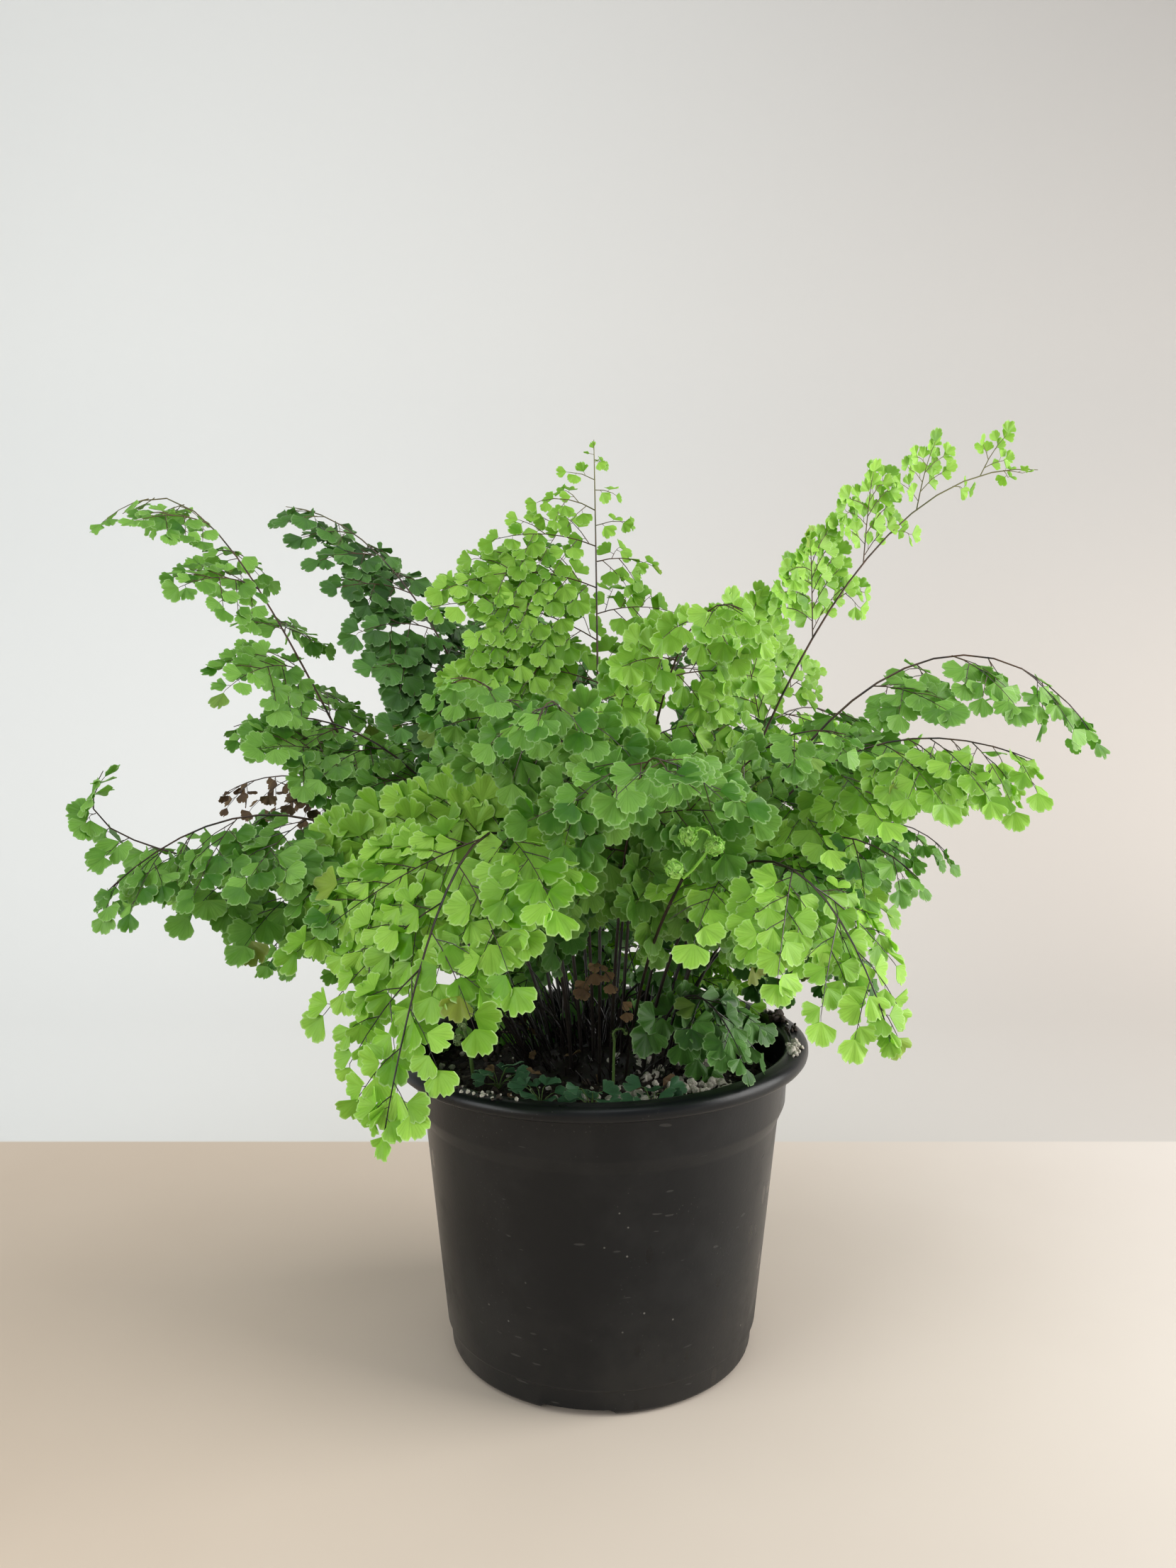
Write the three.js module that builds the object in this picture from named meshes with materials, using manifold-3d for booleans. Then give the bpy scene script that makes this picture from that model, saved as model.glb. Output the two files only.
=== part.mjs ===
// A maidenhair fern in a black nursery pot, in millimetres, +Z up.
// The origin is the middle of the pot's underside, and -Y is the front.
// Azimuths run anticlockwise from +X, so -90 is the front and 0 the right-hand side.
import * as THREE from "three";
import { mergeVertices } from "three/addons/utils/BufferGeometryUtils.js";
import Module from "manifold-3d";

const wasm = await Module();
wasm.setup();

// Driving dimensions of the pot
const RIM_RADIUS = 82.5;
const POT_HEIGHT = 123;
const WALL = 1.4;
const LIP_HEIGHT = 6;
const LIP_WIDTH = 8;
const COLLAR_RADIUS = 74.6;
const COLLAR_LOW = 101;
const BODY_TOP_RADIUS = 71;
const BODY_TOP = 95;
const FOOT_RADIUS = 61;
const FOOT_HEIGHT = 10.6;
const FLOOR_HEIGHT = 4;
const POT_SIDES = 26;
const DRAIN_HOLES = 6;
const DRAIN_RADIUS = 4.5;
const NOTCH_WIDTH = 28;
const NOTCH_HEIGHT = 3;
const NOTCH_COUNT = 4;
const NOTCH_AZIMUTH = -99;
const RIM_TILT = 0.026;

// Driving dimensions of what fills the pot
const CLEARANCE = 0.35;
const SMALLEST_DETAIL = 0.08;
const SOIL_TOP = POT_HEIGHT - 15;
const SOIL_MOUND = 6;
const SOIL_ROUGHNESS = 1.6;
const RHIZOME_RADIUS = 33;
const RHIZOME_HEIGHT = 9;
const RHIZOME_DEPTH = 18;
const STUB_COUNT = 10;

// Driving dimensions of a frond
const STALK_RADIUS = 0.95;
const STALK_TIP_RADIUS = 0.6;
const STALK_STEPS = 7;
const STALK_SIDES = 3;
const ROOT_DEPTH = 8;
const LEAFLET_LENGTH = 17.5;
const LEAFLET_SPREAD = 44;
const BLADE = 0.7;
const RIB_WIDTH = 1.4;
const PINNA_ANGLE = 56;
const PINNA_COUNT = 4;
const BARE_SHARE = 0.44;
const TWIST_TRIES = [0, 12, -12, 24, -24, 36, -36, 50, -50, 66, -66];

const UP = new THREE.Vector3(0, 0, 1);
const rad = THREE.MathUtils.degToRad;

// Each frond grows in the upright plane at its azimuth. A row gives its name, its azimuth, how
// far from the middle it leaves the rhizome, its path, the length of its longest side branch
// and its tone. The path holds two handles and the tip of its curve, each as a distance out
// and a height. Some rows add the leafless share of the stalk as `bare`, the turn of the leafy
// part as `roll`, or how steeply the side branches slope down as `hang`.
const FRONDS = [
  ["front_left", -118, 24, [34, 215, 96, 275, 143, 126], 62, "young"],
  ["front_right", -51, 24, [40, 205, 104, 246, 142, 152], 54, "young"],
  ["right_long", 12, 20, [55, 230, 105, 365, 194, 355], 50, "young", { roll: -50, hang: 0.15 }],
  ["right_arching", 3, 26, [45, 235, 140, 335, 205, 238], 40, "mature"],
  ["right_middle", -14, 26, [40, 215, 95, 268, 165, 236], 42, "young"],
  ["left_long", 174, 22, [105, 200, 148, 385, 200, 331], 56, "mature"],
  ["left_dark", 156, 18, [35, 235, 85, 340, 157, 344], 50, "dark", { hang: 0.35 }],
  ["top", 95, 5, [8, 200, 16, 290, 35, 371], 56, "young", { bare: 0.58, roll: 20, hang: 0.1 }],
  ["left_middle", -162, 27, [56, 195, 122, 258, 189, 187], 54, "mature"],
  ["left_upturned", -171, 27, [60, 215, 228, 185, 186, 236], 30, "mature", { bare: 0.55 }],
  ["left_tier", 179, 18, [36, 205, 90, 272, 150, 247], 48, "mature"],
  ["front_centre", -82, 22, [34, 195, 82, 268, 139, 234], 48, "mature"],
  ["front_tier_left", -101, 16, [24, 205, 62, 285, 112, 252], 46, "mature"],
  ["bright_right", -59, 14, [20, 220, 46, 312, 92, 288], 48, "young"],
  ["bright_left", -122, 14, [22, 200, 52, 278, 98, 266], 46, "mature"],
  ["dark_centre", -160, 12, [16, 180, 34, 246, 66, 256], 38, "dark"],
  ["right_tier", -38, 17, [26, 195, 64, 262, 108, 247], 44, "mature"],
  ["right_low_tier", -30, 26, [38, 185, 86, 238, 128, 196], 42, "mature"],
  ["low_right", 25, 27, [46, 165, 104, 196, 131, 132], 36, "dark"],
  ["over_soil", -52, 28, [36, 150, 56, 166, 78, 136], 22, "dark", { bare: 0.35 }],
  ["low_left", 172, 28, [50, 160, 108, 198, 145, 148], 34, "mature"],
  ["back_left_high", 112, 12, [20, 220, 82, 325, 139, 304], 52, "dark"],
  ["back_right_high", 64, 12, [20, 215, 72, 304, 131, 284], 52, "dark"],
  ["back_centre", 88, 20, [32, 220, 112, 296, 165, 222], 52, "mature"],
  ["back_left", 135, 20, [32, 215, 108, 290, 165, 228], 48, "mature"],
  ["back_right", 40, 20, [32, 215, 112, 292, 168, 236], 52, "young"],
  ["back_low_right", 62, 27, [38, 180, 118, 250, 150, 152], 46, "young"],
  ["back_low_left", 114, 27, [38, 180, 118, 250, 150, 148], 46, "mature"],
  ["right_back_low", 15, 28, [44, 175, 114, 238, 158, 190], 38, "mature"],
  ["withered_left", 158, 27, [60, 190, 124, 250, 188, 214], 38, "withered"],
  ["withered_front", -92, 28, [30, 140, 40, 165, 50, 166], 18, "withered", { bare: 0.5 }],
].map(([name, azimuth, root, path, width, tone, extras]) => {
  return { name, azimuth, root, path, width, tone, ...extras };
});

// Croziers and plantlets, each at an azimuth and a distance from the middle.
const CROZIERS = [
  { azimuth: -73, distance: 27, height: 96, out: 58, hook: 7, radius: 1.3, knobs: 4 },
  { azimuth: -84, distance: 37, height: 26, out: 5, hook: 3.4, radius: 1, knobs: 2 },
  { azimuth: -164, distance: 52, height: 22, out: 4, hook: 3.2, radius: 1, knobs: 2 },
];
const SPORELINGS = [
  { azimuth: -116, distance: 52, height: 15 },
  { azimuth: -94, distance: 52, height: 19 },
  { azimuth: -70, distance: 53, height: 16 },
  { azimuth: -142, distance: 50, height: 16 },
];

const COLOURS = {
  pot: { color: 0x26262a, roughness: 0.5, metalness: 0 },
  soil: { color: 0x1c1612, roughness: 1, metalness: 0 },
  rhizome: { color: 0x16110f, roughness: 0.9, metalness: 0 },
  young: { color: 0x8fbf45, roughness: 0.55, metalness: 0 },
  mature: { color: 0x5f9a3c, roughness: 0.55, metalness: 0 },
  dark: { color: 0x3c7040, roughness: 0.55, metalness: 0 },
  withered: { color: 0x7a5a34, roughness: 0.8, metalness: 0 },
  crozier: { color: 0xa6cf6a, roughness: 0.5, metalness: 0 },
};

// A number between 0 and 1 that depends only on its seed.
function draw(seed) {
  const wave = Math.sin(seed * 12.9898) * 43758.5453;
  return wave - Math.floor(wave);
}

// A point at an azimuth in degrees, a distance out and a height.
function polar(azimuth, distance, height) {
  const turn = rad(azimuth);
  return new THREE.Vector3(Math.cos(turn) * distance, Math.sin(turn) * distance, height);
}

// A closed geometry as a solid that can be joined and cut, turned right side out.
function solidOf(geometry) {
  const loose = geometry.index ? geometry.toNonIndexed() : geometry.clone();
  const bare = new THREE.BufferGeometry();
  bare.setAttribute("position", loose.getAttribute("position"));
  const merged = mergeVertices(bare, 1e-4);
  const triVerts = new Uint32Array(merged.index.array);
  const make = () =>
    new wasm.Manifold(
      new wasm.Mesh({
        numProp: 3,
        vertProperties: new Float32Array(merged.attributes.position.array),
        triVerts,
      }),
    );
  const solid = make();
  if (solid.volume() > 0) {
    return solid;
  }
  for (let i = 0; i < triVerts.length; i += 3) {
    [triVerts[i + 1], triVerts[i + 2]] = [triVerts[i + 2], triVerts[i + 1]];
  }
  return make();
}

// The geometry of a solid.
function geometryOf(solid) {
  const mesh = solid.getMesh();
  const geometry = new THREE.BufferGeometry();
  const positions = new Float32Array(mesh.numVert * 3);
  for (let i = 0; i < mesh.numVert; i++) {
    positions.set(mesh.vertProperties.subarray(i * mesh.numProp, i * mesh.numProp + 3), i * 3);
  }
  geometry.setAttribute("position", new THREE.BufferAttribute(positions, 3));
  geometry.setIndex(new THREE.BufferAttribute(new Uint32Array(mesh.triVerts), 1));
  geometry.computeVertexNormals();
  return geometry;
}

function join(solids) {
  return solids.reduce((sum, next) => sum.add(next));
}

// The largest connected body of a solid, which drops any loose scrap.
function mainBody(solid) {
  return solid.decompose().reduce((a, b) => (a.volume() > b.volume() ? a : b));
}

function boxesMeet(a, b) {
  return [0, 1, 2].every((i) => a.min[i] < b.max[i] && b.min[i] < a.max[i]);
}

// A lathe profile is listed in the XY plane and turned upright about Z.
function lathe(profile, sides) {
  const points = profile.map(([r, z]) => new THREE.Vector2(r, z));
  return new THREE.LatheGeometry(points, sides).rotateX(Math.PI / 2);
}

// A closed tube with flat ends through a row of points. `side` is a level direction
// across the curve, so the tube's corners never twist.
function tube(points, radiusAt, sides, side) {
  const positions = [];
  const index = [];
  const last = points.length - 1;
  points.forEach((point, i) => {
    const along = points[Math.min(i + 1, last)].clone().sub(points[Math.max(i - 1, 0)]).normalize();
    const normal = along.clone().cross(side).normalize();
    const across = normal.clone().cross(along);
    for (let k = 0; k < sides; k++) {
      const turn = ((k + 0.5) / sides) * 2 * Math.PI;
      const corner = point.clone();
      corner.addScaledVector(across, Math.cos(turn) * radiusAt(i / last));
      corner.addScaledVector(normal, Math.sin(turn) * radiusAt(i / last));
      positions.push(...corner.toArray());
    }
  });
  for (let i = 0; i < last; i++) {
    for (let k = 0; k < sides; k++) {
      const a = i * sides + k;
      const b = i * sides + ((k + 1) % sides);
      index.push(a, b, b + sides, a, b + sides, a + sides);
    }
  }
  for (let k = 1; k < sides - 1; k++) {
    index.push(0, k + 1, k, last * sides, last * sides + k, last * sides + k + 1);
  }
  return closed(positions, index);
}

// A solid from positions and triangles.
function closed(positions, index) {
  const geometry = new THREE.BufferGeometry();
  geometry.setAttribute("position", new THREE.Float32BufferAttribute(positions, 3));
  geometry.setIndex(index);
  return solidOf(geometry);
}

// A thin blade: the same triangles on both faces of a flat outline, then bent by `place`,
// which takes a point of the outline and a height above its middle layer.
function blade(corners, place) {
  const outline = THREE.ShapeUtils.isClockWise(corners) ? [...corners].reverse() : corners;
  const faces = THREE.ShapeUtils.triangulateShape(outline, []);
  const count = outline.length;
  const positions = [];
  for (const height of [BLADE / 2, -BLADE / 2]) {
    outline.forEach((point) => positions.push(...place(point, height).toArray()));
  }
  const index = [];
  for (const [a, b, c] of faces) {
    index.push(a, b, c, a + count, c + count, b + count);
  }
  for (let i = 0; i < count; i++) {
    const j = (i + 1) % count;
    index.push(i, i + count, j + count, i, j + count, j);
  }
  return closed(positions, index);
}

// The corners of a fan-shaped leaflet: two at its narrow neck and four round its outer edge,
// which is cut by a notch. `facing` is +1 or -1, the side of the rib that it stands on.
function leafletCorners(base, angle, size, facing, seed) {
  const corner = (turn, share) => {
    const heading = rad(angle + turn * LEAFLET_SPREAD);
    const forward = Math.cos(heading) * size * share;
    const sideways = facing * Math.sin(heading) * size * share;
    return new THREE.Vector2(base.x + forward, base.y + sideways);
  };
  const notch = 0.82 + 0.06 * draw(seed);
  return [
    new THREE.Vector2(base.x - 0.8, base.y),
    corner(1, 0.88),
    corner(0.36, 1),
    corner(0.08, notch),
    corner(-0.75, 0.98),
    new THREE.Vector2(base.x + 0.8, base.y),
  ];
}

// The outline of a side branch: a narrow rib with leaflets alternately on its two sides,
// and one leaflet at its end.
function pinnaOutline(length, count, size, seed) {
  const half = RIB_WIDTH / 2;
  const left = [];
  const right = [];
  for (let i = 0; i < count - 1; i++) {
    const along = (length * (i + 0.7)) / (count - 0.1);
    const facing = i % 2 ? 1 : -1;
    const leaflet = size * (0.92 + 0.16 * draw(seed + i));
    const base = new THREE.Vector2(along, facing * half);
    const corners = leafletCorners(base, 75, leaflet, facing, seed + i * 1.7);
    (facing > 0 ? left : right).push(...corners);
  }
  const end = new THREE.Vector2(length - size * 0.8, 0);
  const tip = [];
  for (const [turn, share] of [[-1, 0.84], [-0.4, 1], [0, 0.8], [0.45, 1], [1, 0.84]]) {
    const heading = rad(turn * LEAFLET_SPREAD);
    const reach = size * share;
    tip.push(new THREE.Vector2(end.x + Math.cos(heading) * reach, Math.sin(heading) * reach));
  }
  const start = [new THREE.Vector2(0, half), new THREE.Vector2(0, -half)];
  const neck = [new THREE.Vector2(end.x, -half), ...tip, new THREE.Vector2(end.x, half)];
  return [...start, ...right, ...neck, ...left.reverse()];
}

// The curve of a frond's stalk, from inside the rhizome to its tip.
function stalkCurve({ azimuth, root, path }) {
  const [outA, upA, outB, upB, reach, tip] = path;
  return new THREE.CubicBezierCurve3(
    polar(azimuth, root, crownHeight(root) - ROOT_DEPTH),
    polar(azimuth, outA, upA),
    polar(azimuth, outB, upB),
    polar(azimuth, reach, tip),
  );
}

// The height of the rhizome's rounded top at a distance from the middle.
function crownHeight(distance) {
  const share = Math.min(distance / RHIZOME_RADIUS, 1);
  return SOIL_TOP + 3 + RHIZOME_HEIGHT * (1 - share * share);
}

// A stalk, and the slightly wider plug that cuts the hole it stands in.
function stalkOf(frond) {
  const curve = stalkCurve(frond);
  const side = polar(frond.azimuth + 90, 1, 0);
  const radiusAt = (share) => THREE.MathUtils.lerp(STALK_RADIUS, STALK_TIP_RADIUS, share);
  const points = [0, 0.09, 0.22].map((share) => curve.getPointAt(share));
  for (let i = 1; i <= STALK_STEPS - 2; i++) {
    points.push(curve.getPointAt(0.22 + (0.76 * i) / (STALK_STEPS - 2)));
  }
  const solid = tube(points, radiusAt, STALK_SIDES, side);
  const chords = new THREE.CurvePath();
  points.slice(1).forEach((point, i) => chords.add(new THREE.LineCurve3(points[i], point)));
  const below = points[0].clone().sub(points[1]).setLength(0.6).add(points[0]);
  const plug = tube([below, points[1], points[2]], () => STALK_RADIUS + CLEARANCE * 1.6, STALK_SIDES, side);
  return { frond, curve, chords, solid, plug };
}

// The side branches of a frond, each with the ways it may be laid, best first.
function branchesOf({ frond }, number) {
  const { bare = BARE_SHARE, width, roll = 0, hang = 0.55 } = frond;
  const list = [];
  for (let i = 0; i <= PINNA_COUNT; i++) {
    const apex = i === PINNA_COUNT;
    const share = apex ? 1 : i / (PINNA_COUNT + 0.1);
    const at = apex ? 0.965 : bare + (0.96 - bare) * share;
    const seed = number * 31 + i * 7;
    const length = apex ? LEAFLET_LENGTH * 1.25 : width * (1 - share) ** 0.6 + LEAFLET_LENGTH * 0.5;
    const facing = (i + number) % 2 ? 1 : -1;
    list.push({ at, length, facing, seed, apex, roll, hang, size: LEAFLET_LENGTH * (1 - 0.25 * share) });
  }
  return list;
}

// One side branch as a blade, laid from the stalk at `at` with a twist about its own rib.
function branchBlade({ curve, chords }, branch, twist, shorten) {
  const { at, length, facing, seed, apex, roll, hang, size } = branch;
  const from = chords.getPointAt(at / 0.98);
  const along = curve.getTangentAt(at);
  const side = along.clone().cross(UP).normalize().applyAxisAngle(along, rad(roll));
  const heading = along.clone();
  if (!apex) {
    const angle = rad(PINNA_ANGLE + 10 * (draw(seed) - 0.5));
    heading.multiplyScalar(Math.cos(angle)).addScaledVector(side, facing * Math.sin(angle));
    heading.addScaledVector(UP, -hang).normalize();
  }
  const normal = side.clone().cross(along).normalize();
  normal.addScaledVector(heading, -normal.dot(heading)).normalize();
  normal.applyAxisAngle(heading, rad(twist));
  const across = normal.clone().cross(heading);
  const reach = Math.max(length * shorten, size * 1.1);
  const count = apex ? 1 : THREE.MathUtils.clamp(Math.round(reach / 20.5), 1, 3);
  const outline = pinnaOutline(reach, count, size, seed);
  const droop = 0.16 + 0.16 * draw(seed + 3);
  return blade(outline, (point, height) => {
    const share = point.x / reach;
    const sink = droop * share * share * reach + 0.26 * Math.abs(point.y);
    const placed = from.clone().addScaledVector(heading, point.x).addScaledVector(across, point.y);
    return placed.addScaledVector(normal, height - 0.4 * sink).addScaledVector(UP, -0.6 * sink);
  });
}

function roomBetween(a, b) {
  const first = a.boundingBox();
  const second = b.boundingBox();
  const apart = [0, 1, 2].some(
    (i) => first.min[i] > second.max[i] + CLEARANCE || second.min[i] > first.max[i] + CLEARANCE,
  );
  return apart ? CLEARANCE : a.minGap(b, CLEARANCE);
}

function isClear(solid, others) {
  return others.every((other) => roomBetween(solid, other) >= CLEARANCE * 0.999);
}

// The pot: one thin turned wall with drain holes in its floor and notches in its foot.
function makePot() {
  const inner = COLLAR_RADIUS - WALL;
  const profile = [
    [0, 0],
    [16, 0],
    [17.5, FLOOR_HEIGHT - WALL],
    [FOOT_RADIUS - 9, FLOOR_HEIGHT - WALL],
    [FOOT_RADIUS - 8, 0],
    [FOOT_RADIUS - 3.3, 0],
    [FOOT_RADIUS - 0.2, 2.5],
    [FOOT_RADIUS + 0.5, FOOT_HEIGHT],
    [FOOT_RADIUS + 1.6, FOOT_HEIGHT + 0.9],
    [BODY_TOP_RADIUS, BODY_TOP],
    [COLLAR_RADIUS - 1, COLLAR_LOW],
    [COLLAR_RADIUS, POT_HEIGHT - LIP_HEIGHT],
    [COLLAR_RADIUS + LIP_WIDTH - 2, POT_HEIGHT - LIP_HEIGHT],
    [RIM_RADIUS, POT_HEIGHT - LIP_HEIGHT + 2.2],
    [RIM_RADIUS, POT_HEIGHT - 1.8],
    [RIM_RADIUS - 1.6, POT_HEIGHT],
    [COLLAR_RADIUS + 1.6, POT_HEIGHT],
    [inner, POT_HEIGHT - 2],
    [inner - 1, COLLAR_LOW + 0.4],
    [BODY_TOP_RADIUS - WALL, BODY_TOP + 0.4],
    [FOOT_RADIUS + 0.3, FOOT_HEIGHT + 1.4],
    [FOOT_RADIUS - 1.2, FOOT_HEIGHT],
    [FOOT_RADIUS - 2, FLOOR_HEIGHT],
    [0, FLOOR_HEIGHT],
  ];
  let pot = solidOf(lathe(profile, POT_SIDES));
  for (let i = 0; i < DRAIN_HOLES; i++) {
    const hole = new THREE.CylinderGeometry(DRAIN_RADIUS, DRAIN_RADIUS, 12, 8).rotateX(Math.PI / 2);
    hole.translate(...polar((360 * i) / DRAIN_HOLES, 38, 2).toArray());
    pot = pot.subtract(solidOf(hole));
  }
  const half = NOTCH_WIDTH / 2;
  const arch = new THREE.Shape();
  arch.moveTo(-half, -1);
  arch.lineTo(half, -1);
  arch.lineTo(half - 2, NOTCH_HEIGHT * 0.8);
  arch.lineTo(half - 5, NOTCH_HEIGHT);
  arch.lineTo(5 - half, NOTCH_HEIGHT);
  arch.lineTo(2 - half, NOTCH_HEIGHT * 0.8);
  arch.closePath();
  for (let i = 0; i < NOTCH_COUNT; i++) {
    const notch = new THREE.ExtrudeGeometry(arch, { depth: 14, bevelEnabled: false });
    notch.translate(0, 0, FOOT_RADIUS - 8.5).rotateX(Math.PI / 2);
    notch.rotateZ(rad(NOTCH_AZIMUTH + 90 + (360 * i) / NOTCH_COUNT));
    pot = pot.subtract(solidOf(notch));
  }
  return pot.warp((point) => {
    const share = THREE.MathUtils.clamp((point[2] - SOIL_TOP - 3) / 9, 0, 1);
    point[2] += RIM_TILT * point[0] * share;
  });
}

// The potting mix: it follows the pot's inside, and its top is a crumbly mound.
function makeSoil(sockets) {
  const gap = CLEARANCE + 0.1;
  const wall = [
    [FOOT_RADIUS - 2 - gap, FLOOR_HEIGHT + gap],
    [FOOT_RADIUS - 1.2 - gap, FOOT_HEIGHT + 0.4],
    [FOOT_RADIUS + 0.3 - gap, FOOT_HEIGHT + 1.9],
    [BODY_TOP_RADIUS - WALL - gap, BODY_TOP],
    [COLLAR_RADIUS - WALL - 1 - gap, COLLAR_LOW + 0.8],
    [COLLAR_RADIUS - WALL - 0.8 - gap, SOIL_TOP - 1],
  ];
  const edge = wall[wall.length - 1][0];
  const rings = [edge, 60, 47, 32].map((radius, ring) => {
    const mound = SOIL_MOUND * (1 - (radius / edge) ** 2);
    return (k) => {
      const rough = ring ? SOIL_ROUGHNESS * (2 * draw(ring * 61 + k * 3.7) - 1) : 0;
      return [radius, SOIL_TOP - (ring ? 0 : 1) + mound + rough];
    };
  });
  const layers = [...wall.map((pair) => () => pair), ...rings.slice(1)];
  const positions = [0, 0, FLOOR_HEIGHT + gap];
  const index = [];
  for (const layer of layers) {
    for (let k = 0; k < POT_SIDES; k++) {
      const turn = (k / POT_SIDES) * 2 * Math.PI;
      const [radius, height] = layer(k);
      positions.push(Math.sin(turn) * radius, -Math.cos(turn) * radius, height);
    }
  }
  positions.push(0, 0, SOIL_TOP + SOIL_MOUND);
  const top = positions.length / 3 - 1;
  for (let k = 0; k < POT_SIDES; k++) {
    const next = (k + 1) % POT_SIDES;
    index.push(0, 1 + next, 1 + k);
    for (let i = 0; i < layers.length - 1; i++) {
      const a = 1 + i * POT_SIDES;
      const b = a + POT_SIDES;
      index.push(a + k, a + next, b + next, a + k, b + next, b + k);
    }
    const last = top - POT_SIDES;
    index.push(last + k, last + next, top);
  }
  return sockets.reduce((soil, socket) => soil.subtract(socket), closed(positions, index));
}

// The rhizome's turned outline, wider by `gap` where it cuts its seat in the mix.
function rhizomeProfile(gap) {
  const foot = SOIL_TOP - RHIZOME_DEPTH;
  const shoulder = SOIL_TOP + 3;
  const sunk = [
    [0, foot - gap],
    [RHIZOME_RADIUS - 6 + gap, foot - gap],
    [RHIZOME_RADIUS + gap, shoulder - (gap ? 0 : 1)],
  ];
  if (gap) {
    return [...sunk, [RHIZOME_RADIUS + gap, shoulder + 20], [0, shoulder + 20]];
  }
  const dome = [0.85, 0.55].map((share) => [RHIZOME_RADIUS * share, crownHeight(RHIZOME_RADIUS * share)]);
  return [...sunk, ...dome, [0, crownHeight(0)]];
}

// The rhizome with the broken stubs of old stalks, and a plain hole for each living one.
function makeRhizome(stalks) {
  let rhizome = solidOf(lathe(rhizomeProfile(0), 18));
  rhizome = rhizome.warp((point) => {
    if (point[2] > SOIL_TOP + 2.5) {
      point[2] += 1.6 * Math.sin(point[0] * 0.45) * Math.cos(point[1] * 0.4) - 0.6;
    }
  });
  for (let i = 0; i < STUB_COUNT; i++) {
    const azimuth = i * 137.5;
    const distance = 5 + 24 * Math.sqrt((i + 0.5) / STUB_COUNT);
    const length = 7 + 20 * draw(i * 5.3);
    const foot = polar(azimuth, distance, crownHeight(distance) - 4);
    const spread = 3 + 0.35 * distance * draw(i * 2.9);
    const top = foot.clone().add(polar(azimuth + 50 * (draw(i) - 0.5), spread, length));
    const stub = tube([foot, top], (share) => 1.3 - 0.4 * share, 4, polar(azimuth + 90, 1, 0));
    if (isClear(stub, stalks.map((stalk) => stalk.solid))) {
      rhizome = rhizome.add(stub);
    }
  }
  for (const { plug } of stalks) {
    rhizome = rhizome.subtract(plug);
  }
  return mainBody(rhizome);
}

// A young frond still rolled up: a stalk that hooks over and ends in knobs of curled leaflets.
function makeCrozier({ azimuth, foot, height, out, hook, radius, knobs }) {
  const side = polar(azimuth + 90, 1, 0);
  const sunk = foot.clone();
  sunk.z -= 6;
  const neck = foot.clone().add(polar(azimuth, out, height));
  const middle = foot.clone().add(polar(azimuth, out * 0.3, height * 0.55));
  const points = [sunk, foot, middle, neck];
  const forward = polar(azimuth, 1, 0);
  for (const turn of [60, 120, 180]) {
    const point = neck.clone().addScaledVector(forward, hook * (1 - Math.cos(rad(turn))));
    point.z += hook * Math.sin(rad(turn));
    points.push(point);
  }
  const radiusAt = (share) => radius * (1 + 0.35 * share);
  let solid = tube(points, radiusAt, 5, side);
  for (let i = 0; i < knobs; i++) {
    const knob = new THREE.IcosahedronGeometry(hook * (0.62 - 0.05 * i), 0);
    knob.rotateZ(i * 1.3).rotateX(i * 0.8);
    const share = i / Math.max(knobs - 1, 1);
    const centre = points[points.length - 1].clone().lerp(points[points.length - 3], share * 0.8);
    centre.addScaledVector(side, hook * 0.5 * (i % 2 ? 1 : -1) * share);
    knob.translate(...centre.toArray());
    solid = solid.add(solidOf(knob));
  }
  const deeper = sunk.clone();
  deeper.z -= 0.6;
  const plug = tube([deeper, foot.clone().add(new THREE.Vector3(0, 0, 8))], () => radius + 0.9, 6, side);
  return { solid, plug };
}

// A plantlet: three short stalks from one foot, each with one fan-shaped leaflet.
function makeSporeling({ azimuth, distance, height }, number) {
  const foot = polar(azimuth, distance, soilHeight(distance) - 5);
  const collar = new THREE.CylinderGeometry(1.6, 1.6, 5, 6).rotateX(Math.PI / 2);
  collar.translate(foot.x, foot.y, foot.z + 2.5);
  let solid = solidOf(collar);
  for (let i = 0; i < 3; i++) {
    const heading = azimuth + 120 * i + 40 * draw(number * 3 + i);
    const side = polar(heading + 90, 1, 0);
    const start = foot.clone().add(new THREE.Vector3(0, 0, 3));
    const lift = height * (0.7 + 0.3 * draw(number * 2 + i));
    const end = start.clone().add(polar(heading, 5 + 2 * draw(number + i), lift));
    solid = solid.add(tube([start, end], () => 0.6, 4, side));
    const forward = polar(heading, 1, 0);
    const outline = leafletCorners(new THREE.Vector2(0, 0), 90, 10, 1, number + i);
    const leaf = blade(outline, (point, lift) => {
      const placed = end.clone().addScaledVector(forward, point.y - 0.4).addScaledVector(side, point.x);
      placed.z += lift + 0.2 * point.y;
      return placed;
    });
    solid = solid.add(leaf);
  }
  const seat = new THREE.CylinderGeometry(2.1, 2.1, 12, 8).rotateX(Math.PI / 2);
  seat.translate(foot.x, foot.y, foot.z + 5.6);
  return { solid: mainBody(solid), plug: solidOf(seat) };
}

// The height of the mix's mound at a distance from the middle.
function soilHeight(distance) {
  return SOIL_TOP + SOIL_MOUND * (1 - (distance / COLLAR_RADIUS) ** 2);
}

const group = new THREE.Group();

function addPart(name, colour, solid) {
  const material = new THREE.MeshStandardMaterial(COLOURS[colour]);
  const mesh = new THREE.Mesh(geometryOf(solid.simplify(SMALLEST_DETAIL)), material);
  mesh.name = name;
  group.add(mesh);
}

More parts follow.
